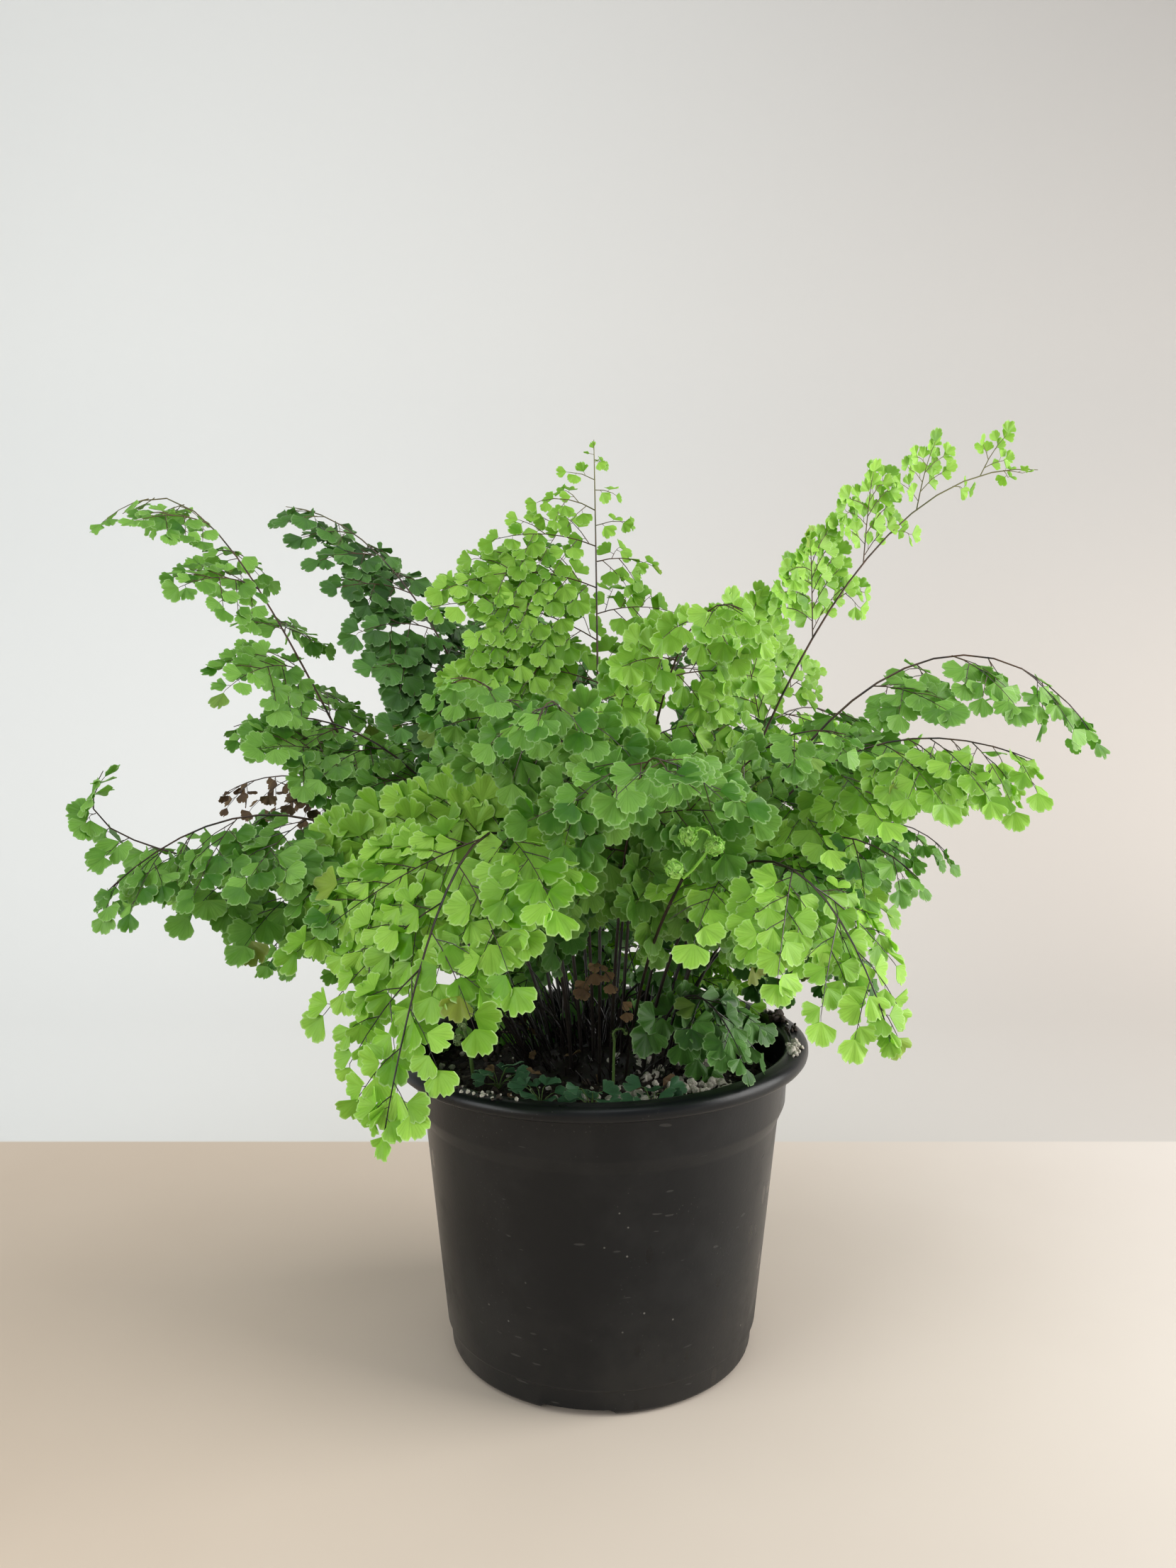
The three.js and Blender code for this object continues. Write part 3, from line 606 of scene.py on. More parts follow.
class Gathering:
    """Many placed copies of a few shapes, made into one piece at the end."""

    def __init__(self):
        self.points, self.faces, self.own, self.drawn = [], [], [], []
        self.count = 0

    def lay(self, shape, turn, place, drawn=(0.5, 0.5)):
        """turn is a 3 by 3 matrix whose columns are where the shape's own axes go."""
        self.points.append(shape.points @ np.asarray(turn).T + np.asarray(place))
        self.faces.extend(tuple(i + self.count for i in face) for face in shape.faces)
        self.count += len(shape.points)
        self.own.append(shape.own)
        self.drawn.append(np.tile(drawn, (len(shape.own), 1)))

    def finish(self, name):
        mesh = bpy.data.meshes.new(name)
        mesh.from_pydata((np.concatenate(self.points) * MM).tolist(), [], self.faces)
        for label, values in (("own", self.own), ("drawn", self.drawn)):
            layer = mesh.uv_layers.new(name=label)
            layer.data.foreach_set("uv", np.concatenate(values).astype(np.float32).ravel())
        mesh.validate()
        piece = bpy.data.objects.new(name, mesh)
        bpy.context.collection.objects.link(piece)
        return piece


def turned(draws, size):
    """A random turn and an uneven size."""
    axis = draws.normal(size=3)
    axis /= np.linalg.norm(axis)
    matrix = Matrix.Rotation(draws.uniform(0, 2 * math.pi), 3, Vector(axis))
    return np.array(matrix) @ np.diag(size * draws.uniform(0.7, 1.15, 3))


# %% Perlite grains and crumbs
STONE_FORMS, STONE_LUMPS, STONE_ROUGHNESS = 4, 1.3, 0.55
# Patches of stones: how many, then azimuth, distance and size, each from and to
GRAINS = [(110, 0, 360, 8, 70, 0.8, 3.0), (160, -100, -18, 38, 70, 1.4, 4.6)]
CRUMBS = [(620, 0, 360, 8, 70.5, 1.0, 3.6)]


def model_stone(name, seed, rough):
    """A stone of 80 faces: a ball pushed in and out by noise, 2 mm across."""
    start_fresh()
    bpy.ops.mesh.primitive_ico_sphere_add(subdivisions=2, radius=MM)
    stone = bpy.context.object
    stone.name = name
    for vertex in stone.data.vertices:
        push = noise.noise(vertex.co / MM * STONE_LUMPS + Vector((seed * 7.1, 0, 0)))
        vertex.co *= 1 + rough * push
    return Shape(stone)


def strew(name, seed, finish, patches):
    """Stones laid at random on the mix, patch by patch, as one piece."""
    draws = np.random.RandomState(seed)
    heap = Gathering()
    for count, start, end, inner, outer, small, large in patches:
        for _ in range(count):
            distance = math.sqrt(draws.uniform(inner ** 2, outer ** 2))
            x, y, _ = polar(draws.uniform(start, end), distance, 0)
            size = draws.uniform(small, large) / 2
            spot = (x, y, soil_height(x, y) + size * 0.35)
            heap.lay(stones[draws.randint(len(stones))], turned(draws, size), spot)
    dress(heap.finish(name), finish)


stones = [model_stone(f"stone_{i}", i, STONE_ROUGHNESS) for i in range(STONE_FORMS)]
strew("perlite_grains", 11, perlite_finish, GRAINS)
strew("bark_crumbs", 12, bark_finish, CRUMBS)
print("grains and crumbs:", sum(patch[0] for patch in GRAINS + CRUMBS))

# %% [markdown]
# ### Spilled grains
# When the fern was potted, perlite and crumbs stuck to the rim: a small heap lies on its
# right side, a trail of grains on its left front, and a clump of mix behind the right
# leaves. They rest on the flat top of the lip, which is 123 mm up and tilted a little.


# %% Grains on the rim
LIP_DISTANCE, LIP_SPREAD = 77.6, 1.5
# Runs of stones along the lip: azimuth from and to, how many, smallest and largest size
RIM_GRAINS = [(-25, -12, 30, 1.2, 3.0), (-136, -108, 16, 0.6, 1.7), (-8, 30, 8, 0.8, 2.2)]
RIM_CRUMBS = [(11, 19, 26, 1.4, 3.6), (-2, 10, 10, 1, 2.4), (-132, -116, 8, 0.7, 1.6)]


def rim_height(x):
    return POT_HEIGHT + RIM_TILT * x


def on_rim(name, seed, finish, runs):
    """Stones laid at random on the lip, run by run, as one piece."""
    draws = np.random.RandomState(seed)
    heap = Gathering()
    for start, end, count, small, large in runs:
        for _ in range(count):
            x, y, _ = polar(draws.uniform(start, end), draws.normal(LIP_DISTANCE, LIP_SPREAD), 0)
            size = draws.uniform(small, large) / 2
            spot = (x, y, rim_height(x) + size * 0.6)
            heap.lay(stones[draws.randint(len(stones))], turned(draws, size), spot)
    dress(heap.finish(name), finish)


on_rim("rim_perlite", 21, perlite_finish, RIM_GRAINS)
on_rim("rim_crumbs", 22, bark_finish, RIM_CRUMBS)

# %% [markdown]
# ## Leaf finishes
# A maidenhair leaflet is a thin film: light from behind shines through it and makes it glow
# yellow-green. So its finish mixes a glossy leaf surface with a translucent one. Free veins
# fan out from the leaflet's base and fork halfway, the margin is paler, and each leaflet has
# its own tone, drawn at random about its frond's tone. Some fronds get a lighter tone where
# they stand in the light and a darker one where they stand in shadow, as painted light and
# shade. Young fronds are bright yellow-green, old ones deep and bluish.


# %% Leaf finishes
# The veins are a sine across the leaflet that runs through this many radians: 14 of them
VEIN_RUN = 88
YELLOWED = (0.30, 0.22, 0.05)


def make_leaf_finish(name, deep, fresh, edge, through, share, roughness=0.36, spots=None):
    """deep, fresh and edge are the leaf's own tones. Of the light that falls on it, share
    passes, tinted by through. A withered leaf also has dark spots."""
    leaf = Finish(name)
    own = leaf.node("ShaderNodeUVMap", {"uv_map": "own"})
    across, outward = leaf.axis(0, own), leaf.axis(1, own)
    drawn = leaf.node("ShaderNodeUVMap", {"uv_map": "drawn"})
    tone_and_painted_light, age = leaf.axis(0, drawn), leaf.axis(1, drawn)
    thick = (across * VEIN_RUN).sine().between(0.35, 1.0) * outward.between(0.05, 0.3)
    forked = (across * (2 * VEIN_RUN)).sine().between(0.45, 1.0) * outward.between(0.4, 0.6)
    veins = thick * 0.6 + forked * 0.4
    blotch = leaf.noise(260, 3, 0.6)
    # Painted light and shade: the drawn tone is set lighter for fronds in the light and darker for fronds in
    # shadow
    green = leaf.mix(tone_and_painted_light * 0.8 + blotch * 0.4 + outward * 0.25 - 0.3, deep, fresh)
    veined = leaf.mix(veins * 0.4, green, deep)
    margin = leaf.mix(outward.between(0.9, 1.0) * 0.46, veined, edge)
    tired = leaf.mix(age.between(0.99, 1.0) * 0.6, margin, YELLOWED)
    if spots:
        tired = leaf.mix(leaf.noise(420, 2).between(0.62, 0.72) * 0.7, tired, spots)
    leaf.set(Base_Color=tired, Roughness=blotch * 0.15 + roughness, Specular_IOR_Level=0.36)
    leaf.bump(veins * 0.5 + blotch * 0.3, 0.00018, 0.5)
    glow = leaf.tree.nodes.new("ShaderNodeBsdfTranslucent")
    glow.inputs["Color"].default_value = (*through, 1)
    blend = leaf.tree.nodes.new("ShaderNodeMixShader")
    blend.inputs[0].default_value = share
    leaf.tree.links.new(leaf.shader.outputs[0], blend.inputs[1])
    leaf.tree.links.new(glow.outputs[0], blend.inputs[2])
    leaf.tree.links.new(blend.outputs[0], leaf.tree.nodes["Material Output"].inputs["Surface"])
    return leaf.material


def make_stalk_finish(name, dark, warm):
    """Polished wiry stalks: near black below, warmer higher up and green where they grow."""
    stalk = Finish(name)
    height = stalk.axis(2)
    patches = stalk.noise(120, 2)
    warmth = height.between(0.12, 0.30) * patches.between(0.3, 0.6)
    grown = stalk.mix(warmth, dark, warm)
    fresh = stalk.mix(height.between(0.31, 0.365) * 0.8, grown, (0.19, 0.20, 0.06))
    stalk.set(Base_Color=fresh, Roughness=patches * 0.2 + 0.25, Specular_IOR_Level=0.5)
    stalk.bump(stalk.noise(1200, 2), 0.0001, 0.4)
    return stalk.material


# Deep, fresh and edge tones, the tone and share of the light that passes, and for dry leaves
# their roughness and their spots
LEAF_TONES = {
    "young": [(0.10, 0.28, 0.006), (0.49, 0.79, 0.12), (0.80, 0.92, 0.52), (0.50, 0.87, 0.03), 0.38],
    "mature": [(0.04, 0.16, 0.006), (0.33, 0.63, 0.11), (0.58, 0.80, 0.38), (0.32, 0.67, 0.02), 0.35],
    "dark": [(0.018, 0.08, 0.006), (0.13, 0.33, 0.055), (0.36, 0.54, 0.26), (0.12, 0.36, 0.012), 0.27],
    "withered": [(0.075, 0.042, 0.02), (0.21, 0.135, 0.062), (0.30, 0.21, 0.105), (0.23, 0.14, 0.05), 0.2,
                 0.56, (0.045, 0.022, 0.012)],
}
LEAF_FINISHES = {tone: make_leaf_finish(f"leaf_{tone}", *tones) for tone, tones in LEAF_TONES.items()}
stalk_finish = make_stalk_finish("stalk", (0.008, 0.005, 0.004), (0.085, 0.042, 0.024))
print("leaf finishes:", ", ".join(LEAF_FINISHES))

# %% [markdown]
# ## The leaflet
# Each leaflet is a small wedge-shaped fan whose outer margin is cut into a few shallow lobes with
# a faintly scalloped edge. It is modelled flat as one row of cells, spread like the ribs of a hand
# fan, and its margin is given the lobes. The film is cupped and waved a little and then
# thickened. A plant has thousands of them, so a few dozen faces must do, and five forms are
# enough, because every copy gets its own size, turn and shade.

# %% Leaflet forms
LEAFLET_REACH = 7.6
LEAFLET_FILM = 0.2
LEAFLET_COLUMNS = 18
ROUNDED_CORNER, CORNER_POWER = 0.32, 3.6
TOOTH = 0.010
NOTCH_WIDTH = 0.7
# Half the fan's angle, and its notches as columns and depths
LEAFLET_FORMS = [
    (60, {3: 0.05, 7: 0.15, 11: 0.09, 15: 0.12}),
    (66, {5: 0.13, 9: 0.07, 11: 0.19, 15: 0.06}),
    (54, {5: 0.07, 9: 0.28, 13: 0.08}),
    (72, {3: 0.08, 7: 0.12, 9: 0.17, 13: 0.13, 15: 0.06}),
    (62, {5: 0.18, 9: 0.08, 11: 0.14, 15: 0.17}),
]


def margin_reach(across, notches):
    """How far the margin stands out at a share of the fan's width: teeth, corners and notches."""
    column = across * LEAFLET_COLUMNS
    corner = ROUNDED_CORNER * abs(2 * across - 1) ** CORNER_POWER
    cut = sum(
        depth * math.exp(-((column - place) / NOTCH_WIDTH) ** 2) for place, depth in notches.items()
    )
    return 1 + TOOTH * math.cos(math.pi * column) - corner - cut


def model_leaflet(name, spread, notches, wave):
    """A fan in the XY plane: its base at the origin, its margin towards +Y, its face up."""
    start_fresh()
    bpy.ops.mesh.primitive_grid_add(x_subdivisions=LEAFLET_COLUMNS, y_subdivisions=1, size=2 * MM)
    leaflet = bpy.context.object
    leaflet.name = name
    flat = [((v.co.x / MM + 1) / 2, (v.co.y / MM + 1) / 2) for v in leaflet.data.vertices]
    own = leaflet.data.uv_layers.new(name="own")
    for loop in leaflet.data.loops:
        own.data[loop.index].uv = flat[loop.vertex_index]
    for vertex, (across, outward) in zip(leaflet.data.vertices, flat):
        turn = math.radians(spread) * (2 * across - 1)
        reach = LEAFLET_REACH * outward * margin_reach(across, notches)
        ripple = 0.5 * wave * outward * math.cos(turn * 7 + wave * 3)
        cup = 1.1 * outward * turn ** 2 - 0.8 * outward
        vertex.co = (math.sin(turn) * reach * MM, math.cos(turn) * reach * MM, (ripple + cup) * MM)
    bpy.ops.object.mode_set(mode="EDIT")
    bpy.ops.mesh.select_all(action="SELECT")
    bpy.ops.mesh.remove_doubles(threshold=0.01 * MM)
    bpy.ops.object.mode_set(mode="OBJECT")
    apply_modifier(leaflet, "SOLIDIFY", thickness=LEAFLET_FILM * MM, offset=0)
    return Shape(leaflet)


leaflets = [model_leaflet(f"leaflet_{i}", *form, 0.6 + 0.25 * i) for i, form in enumerate(LEAFLET_FORMS)]
print("faces of a leaflet:", len(leaflets[0].faces))

# %% [markdown]
# ## Growing a frond
# A frond is a wiry stalk with side branches on alternate sides, each branch carries
# leaflets on hair-thin stalks, and the longest branches fork again. The stalk follows the
# CAD model's curve, so each frond keeps its place and its reach. Stems are curves with a
# round bevel, turned into a mesh at the end. Leaflets hang a little and turn their faces
# up and outwards to the light, and they overlap like shingles.

# %% Stems and curves
UP = np.array((0.0, 0.0, 1.0))
CROWN_RADIUS, CROWN_FOOT, CROWN_RISE = 33, SOIL_TOP + 3, 9


def unit(vector):
    return vector / max(np.linalg.norm(vector), 1e-9)


def crown_height(distance):
    """How high the rhizome's mound stands at a distance in mm from the pot's axis."""
    return CROWN_FOOT + CROWN_RISE * (1 - min(distance / CROWN_RADIUS, 1) ** 2)


def even_curve(corners, count):
    """Points at even distances along a Bezier curve with four corner points, and its length."""
    share = np.linspace(0, 1, 200)[:, None]
    a, b, c, d = corners
    left = 1 - share
    fine = left ** 3 * a + 3 * left ** 2 * share * b + 3 * left * share ** 2 * c + share ** 3 * d
    run = np.concatenate([[0], np.cumsum(np.linalg.norm(np.diff(fine, axis=0), axis=1))])
    wanted = np.linspace(0, run[-1], count)
    return np.stack([np.interp(wanted, run, fine[:, k]) for k in range(3)], axis=1), run[-1]


class Stems:
    """Thin round stems along lists of points in mm, made into one mesh."""

    def __init__(self, name, resolution):
        self.curve = bpy.data.curves.new(name, "CURVE")
        self.curve.dimensions = "3D"
        self.curve.bevel_depth = MM
        self.curve.bevel_resolution = resolution
        self.curve.use_fill_caps = True

    def add(self, points, start, end):
        stem = self.curve.splines.new("POLY")
        stem.points.add(len(points) - 1)
        for i, point in enumerate(points):
            stem.points[i].co = (*(np.asarray(point) * MM), 1)
            stem.points[i].radius = start + (end - start) * i / (len(points) - 1)

    def finish(self):
        piece = bpy.data.objects.new(self.curve.name, self.curve)
        bpy.context.collection.objects.link(piece)
        choose(piece)
        bpy.ops.object.convert(target="MESH")
        return bpy.context.object


def join(pieces):
    choose(pieces[0])
    for piece in pieces:
        piece.select_set(True)
    bpy.ops.object.join()
    return bpy.context.object


# %% Branches and leaflets
TO_LIGHT = np.array((0.08, -0.86, 0.5))
BRANCH_ANGLE, BRANCH_GAP = 56, 11.5
LEAFLET_GAP, RIB_STEP = 4.9, 7
FORK_ANGLE, SHORTEST_FORK, FORKED_FROM = 0.9, 12, 22
# Radii in mm: of a rib that forks and of one that doesn't, at a rib's end and at a leaflet's foot
FORKED_RADIUS, RIB_RADIUS, RIB_END, LEAFLET_FOOT = 0.27, 0.2, 0.12, 0.09
HEADING_SPREAD, FACE_SPREAD, SHADE_SPREAD = 0.14, 0.22, 0.3
# Passages through which the big crozier is seen, free of leaflets: two ends and a radius
CLEARINGS = [((28, -94, 215), (24, -160, 228), 13), ((22, -80, 190), (17, -150, 196), 9)]


def in_a_clearing(place):
    for start, end, radius in CLEARINGS:
        run = np.subtract(end, start)
        share = np.clip((place - start) @ run / (run @ run), 0, 1)
        if np.linalg.norm(place - start - run * share) < radius:
            return True
    return False


class Frond:
    """The stems and leaflets of one frond while it grows."""

    def __init__(self, name, seed):
        self.name = name
        self.draws = np.random.RandomState(seed)
        self.thick = Stems(f"{name}_stalks", 2)
        self.thin = Stems(f"{name}_ribs", 0)
        self.leaves = Gathering()
        self.tone_and_painted_light = self.draws.uniform(0.35, 0.65)

    def vary(self, spread):
        return self.draws.uniform(-spread, spread)

    def leaflet(self, place, heading, face, size):
        """A leaflet on its short stalk, which leaves the rib in the direction heading."""
        heading = unit(heading + self.draws.normal(size=3) * HEADING_SPREAD)
        face = face + self.draws.normal(size=3) * FACE_SPREAD
        across = unit(np.cross(heading, face))
        face = np.cross(across, heading)
        foot = place + heading * self.draws.uniform(0.9, 2.0)
        if in_a_clearing(foot + heading * size * LEAFLET_REACH / 2):
            return
        self.thin.add([place, foot], RIB_END, LEAFLET_FOOT)
        turn = np.stack([across, heading, face], axis=1) * size
        form = leaflets[self.draws.randint(len(leaflets))]
        # The leaflet's tone spreads at random about its frond's tone, and it keeps the frond's painted light
        # and shade
        leaflet_tone_and_painted_light = min(max(self.tone_and_painted_light + self.draws.normal() * SHADE_SPREAD, 0), 1)
        self.leaves.lay(form, turn, foot, (leaflet_tone_and_painted_light, self.draws.uniform(0, 1)))

    def branch(self, start, heading, normal, length, droop, hang, size, forks):
        """A rib with leaflets on alternate sides, one at its end, and forks of its own."""
        steps = max(round(length / RIB_STEP), 2)
        shares = np.linspace(0, 1, steps + 1)
        points = [start + heading * length * s - UP * droop * length * s * s for s in shares]
        self.thin.add(points, FORKED_RADIUS if forks else RIB_RADIUS, RIB_END)
        count = max(round(length / LEAFLET_GAP), 2)
        flip = 1 if self.draws.rand() < 0.5 else -1
        for i in range(count):
            share = (i + 0.75 + self.vary(0.15)) / (count + 0.35)
            place = start + heading * length * share - UP * droop * length * share ** 2
            along = unit(heading - UP * 2 * droop * share)
            side = unit(np.cross(along, normal)) * flip
            flip = -flip
            if forks and share < 0.66 and length * (1 - share) > SHORTEST_FORK:
                out = along * math.cos(FORK_ANGLE) + side * math.sin(FORK_ANGLE)
                out = unit(out - UP * hang * 0.2)
                reach = length * (0.46 - 0.30 * share)
                self.branch(place, out, normal, reach, droop * 0.8, hang, size * 0.97, False)
            else:
                out = along * 0.62 + side * 0.80 - UP * hang * 0.55
                grown = size * (1.04 - 0.22 * share) * self.draws.uniform(0.9, 1.1)
                self.leaflet(place, out, normal, grown)
        self.leaflet(points[-1], along - UP * hang * 0.4, normal, size * self.draws.uniform(0.8, 1.0))


# %% [markdown]
# ### From root to tip
# The branches of a frond are long in the middle and short at the tip, and its blade is turned
# as a whole, so one function places them all along the stalk. What sets a frond apart comes
# in as named amounts, because each of the real fronds has grown in its own way.

# %% A whole frond
# How a stalk is counted: its steps, where the thick stem ends, where the last branch starts,
# and the share of its length that carries branches or lies bare
STALK_STEPS, THICK_STEPS, LAST_START, BRANCHED = 120, 110, 112, 0.96
# Radii in mm, from foot to tip: of the thick stem and of the thin end that goes on from it
STEM_RADII, END_RADII = (0.78, 0.26), (0.28, 0.15)


def grow_frond(number, name, azimuth, distance, path, width, bare=0.44, roll=0, hang=0.55,
               gap=BRANCH_GAP, leaf=1.0, taper=0.65, belly=1.0, low=1.0, skew=0, light=0.85, tone_and_painted_light=None,
               dwindle=0.24, last=9, lift=0):
    """Stems and leaflets along one bent stalk.

    path is the distance and height of its two bends and its tip, width its longest branch.
    bare is the share of the stalk below the first branch, gap the way between two branches.
    roll turns the blade about the stalk, and skew makes the branches of one side longer.
    low, belly and taper are the outline: its width at the foot, where it is widest, how it ends.
    leaf is the leaflets' size, dwindle how much they lose towards the tip, shade their tone,
    which is painted lighter for fronds in the light and darker for fronds in shadow.
    hang is how much they droop, and light how far their faces turn to the light.
    last and lift are the length of the branch at the tip, and how steeply it rises."""
    frond = Frond(f"frond_{name}", 500 + number)
    frond.tone_and_painted_light = tone_and_painted_light or frond.tone_and_painted_light
    out_a, up_a, out_b, up_b, reach, tip = path
    corners = [
        polar(azimuth, distance, crown_height(distance) - 8), polar(azimuth, out_a, up_a),
        polar(azimuth, out_b, up_b), polar(azimuth, reach, tip),
    ]
    points, length = even_curve(corners, STALK_STEPS + 1)
    outward = polar(azimuth, 1, 0)
    count = max(round((BRANCHED - bare) * length / gap), 2)
    frond.thick.add(points[:THICK_STEPS + 1:5], *STEM_RADII)
    frond.thin.add(points[THICK_STEPS:STALK_STEPS - 1:4], *END_RADII)
    for i in range(count):
        share = 1 - (1 - i / (count + 0.1)) ** 1.35
        spot = round(STALK_STEPS * (bare + (BRANCHED - bare) * share + frond.vary(0.008)))
        along = unit(points[min(spot + 2, STALK_STEPS)] - points[max(spot - 2, 0)])
        level = unit(np.cross(along, UP))
        spin = Matrix.Rotation(math.radians(roll), 3, Vector(along))
        side = np.array(spin) @ level
        normal = unit(np.cross(side, along))
        normal = normal if normal @ TO_LIGHT > 0 else -normal
        facing = 1 if (i + number) % 2 == 0 else -1
        angle = math.radians(BRANCH_ANGLE + frond.vary(7))
        heading = unit(along * math.cos(angle) + side * facing * math.sin(angle) - UP * hang * 0.5)
        normal = unit(normal * 0.6 + outward * 0.25 + TO_LIGHT * light)
        widening = low + (1 - low) * min(share / (1.001 - belly), 1)
        profile = min((1 - share) / belly, 1) ** taper * widening
        reach_out = ((width + 3) * profile + 3) * (1 + skew * facing)
        size = leaf * (1.06 - dwindle * share)
        droop = frond.draws.uniform(0.22, 0.42)
        frond.branch(points[spot], heading, normal, reach_out, droop, hang, size, reach_out > FORKED_FROM)
    end = unit(unit(points[STALK_STEPS] - points[LAST_START]) + UP * lift)
    last_size = leaf * (1 - dwindle) * 0.95
    frond.branch(points[LAST_START], end, unit(UP + outward * 0.5), last, 0.1, hang, last_size, False)
    return frond


# %% [markdown]
# ### The fronds
# The list is the CAD model's: for each frond its azimuth, the distance of its root from the
# pot's axis, the two points that bend its stalk and its tip (each as distance and height in
# mm), the length of its widest branches, and how old its leaves are. The words that follow
# are what sets one frond apart, such as larger leaflets or a blade that is turned to a side.

# %% Fronds
# Some fronds' tone is set lighter where they stand in the light and darker where they stand in shadow:
# painted light and shade
FRONDS = [
    ("front_left", -118, 24, (34, 215, 96, 275, 143, 126), 62, "young",
     {"leaf": 1.35, "taper": 1.0, "gap": 12, "hang": 0.35, "skew": 0.2, "tone_and_painted_light": 0.6}),
    ("front_right", -51, 24, (40, 205, 104, 246, 142, 152), 54, "young",
     {"leaf": 1.2, "taper": 0.8, "tone_and_painted_light": 0.85}),
    ("right_long", 12, 20, (55, 230, 105, 365, 194, 355), 50, "young",
     {"roll": -50, "hang": -1.0, "gap": 17, "skew": 0.45, "tone_and_painted_light": 0.85, "dwindle": 0.45}),
    ("right_arching", 3, 26, (45, 235, 140, 335, 205, 238), 40, "mature",
     {"taper": 0.5, "leaf": 1.25, "gap": 14, "tone_and_painted_light": 0.9}),
    ("right_middle", -14, 26, (40, 215, 95, 268, 165, 236), 42, "young",
     {"leaf": 1.3, "taper": 0.35, "hang": 0.75, "gap": 9, "tone_and_painted_light": 0.75}),
    ("left_long", 174, 22, (105, 200, 148, 385, 200, 331), 56, "mature",
     {"bare": 0.48, "gap": 17, "hang": 0.3, "light": 0.4, "taper": 0.4, "tone_and_painted_light": 0.7}),
    ("left_dark", 156, 18, (35, 235, 85, 340, 157, 344), 50, "dark",
     {"hang": 0.35, "light": 0.55, "leaf": 1.25, "gap": 9.5, "tone_and_painted_light": 0.65}),
    ("top", 95, 5, (8, 200, 16, 290, 35, 371), 56, "young",
     {"bare": 0.58, "roll": 20, "hang": 0.5, "skew": -0.35, "taper": 1.15, "belly": 0.7, "low": 0.75,
      "leaf": 1.2, "gap": 8.5, "tone_and_painted_light": 0.6, "dwindle": 0.62}),
    ("left_middle", -162, 27, (56, 195, 122, 258, 189, 187), 54, "mature", {"leaf": 1.15}),
    ("left_upturned", -171, 27, (60, 215, 228, 185, 186, 236), 30, "mature",
     {"bare": 0.55, "leaf": 1.35, "taper": 1.0, "gap": 9, "tone_and_painted_light": 0.7}),
    ("left_tier", 179, 18, (36, 205, 90, 272, 150, 247), 48, "mature",
     {"hang": 0.35, "light": 0.7, "leaf": 1.15, "gap": 9}),
    ("front_centre", -82, 22, (34, 195, 82, 268, 139, 234), 48, "mature",
     {"leaf": 1.3, "hang": 0.3, "last": 20, "lift": 0.5}),
    ("front_tier_left", -101, 16, (24, 205, 62, 285, 112, 252), 46, "mature", {"leaf": 1.3}),
    ("bright_right", -59, 14, (20, 220, 46, 312, 92, 288), 48, "young",
     {"leaf": 1.2, "gap": 9, "tone_and_painted_light": 0.6}),
    ("bright_left", -122, 14, (22, 200, 52, 278, 98, 266), 46, "mature", {"leaf": 1.15, "gap": 9}),
    ("dark_centre", -160, 12, (16, 180, 34, 246, 66, 256), 38, "dark", {"leaf": 1.2, "gap": 9}),
    ("right_tier", -38, 17, (26, 195, 64, 262, 108, 247), 44, "mature", {"leaf": 1.25}),
    ("right_low_tier", -30, 26, (38, 185, 86, 238, 128, 196), 42, "mature", {"leaf": 1.15}),
    ("low_right", 25, 27, (46, 165, 104, 196, 131, 132), 36, "dark", {}),
    ("over_soil", -52, 28, (36, 150, 56, 166, 78, 136), 22, "dark",
     {"bare": 0.3, "leaf": 1.25, "gap": 10, "skew": -0.35}),
    ("low_left", 172, 28, (50, 160, 108, 198, 145, 148), 34, "mature", {}),
    ("back_left_high", 112, 12, (20, 220, 82, 325, 139, 304), 52, "dark",
     {"bare": 0.06, "low": 0.3, "belly": 0.5, "hang": 0.6}),
    ("back_right_high", 64, 12, (20, 215, 72, 304, 131, 284), 52, "dark",
     {"bare": 0.06, "low": 0.3, "belly": 0.5, "hang": 0.6}),
    ("back_centre", 88, 20, (32, 220, 112, 296, 165, 222), 52, "mature", {"bare": 0.3, "hang": 0.9}),
    ("back_left", 135, 20, (32, 215, 108, 290, 165, 228), 48, "mature", {}),
    ("back_right", 40, 20, (32, 215, 112, 292, 168, 236), 52, "young", {}),
    ("back_low_right", 62, 27, (38, 180, 118, 250, 150, 152), 46, "young",
     {"bare": 0.2, "hang": 1.2, "gap": 9, "tone_and_painted_light": 0.2}),
    ("back_low_left", 114, 27, (38, 180, 118, 250, 150, 148), 46, "mature",
     {"bare": 0.2, "hang": 1.2, "gap": 9}),
    ("right_back_low", 15, 28, (44, 175, 114, 238, 158, 190), 38, "mature", {}),
    ("withered_left", 158, 27, (60, 190, 124, 250, 188, 214), 38, "withered", {"leaf": 0.85}),
    ("withered_front", -92, 28, (30, 140, 40, 165, 50, 166), 18, "withered",
     {"bare": 0.93, "leaf": 0.6, "low": 0.2, "hang": 2.2, "light": 0.4}),
]


def make_frond(number, name, azimuth, distance, path, width, tone, extras):
    """One frond's leaflets and stems, as two pieces that stand for its CAD node."""
    frond = grow_frond(number, name, azimuth, distance, path, width, **extras)
    blades = frond.leaves.finish(f"{frond.name}_leaflets")
    dress(blades, LEAF_FINISHES[tone], frond.name, angle=50)
    stems = join([frond.thick.finish(), frond.thin.finish()])
    dress(stems, stalk_finish, frond.name)
    return len(frond.leaves.points), len(blades.data.polygons)


counts = np.array([make_frond(number, *row) for number, row in enumerate(FRONDS)])
leaflet_count, face_count = counts.sum(axis=0)
print("fronds:", len(FRONDS), "leaflets:", leaflet_count, "leaflet faces:", face_count)

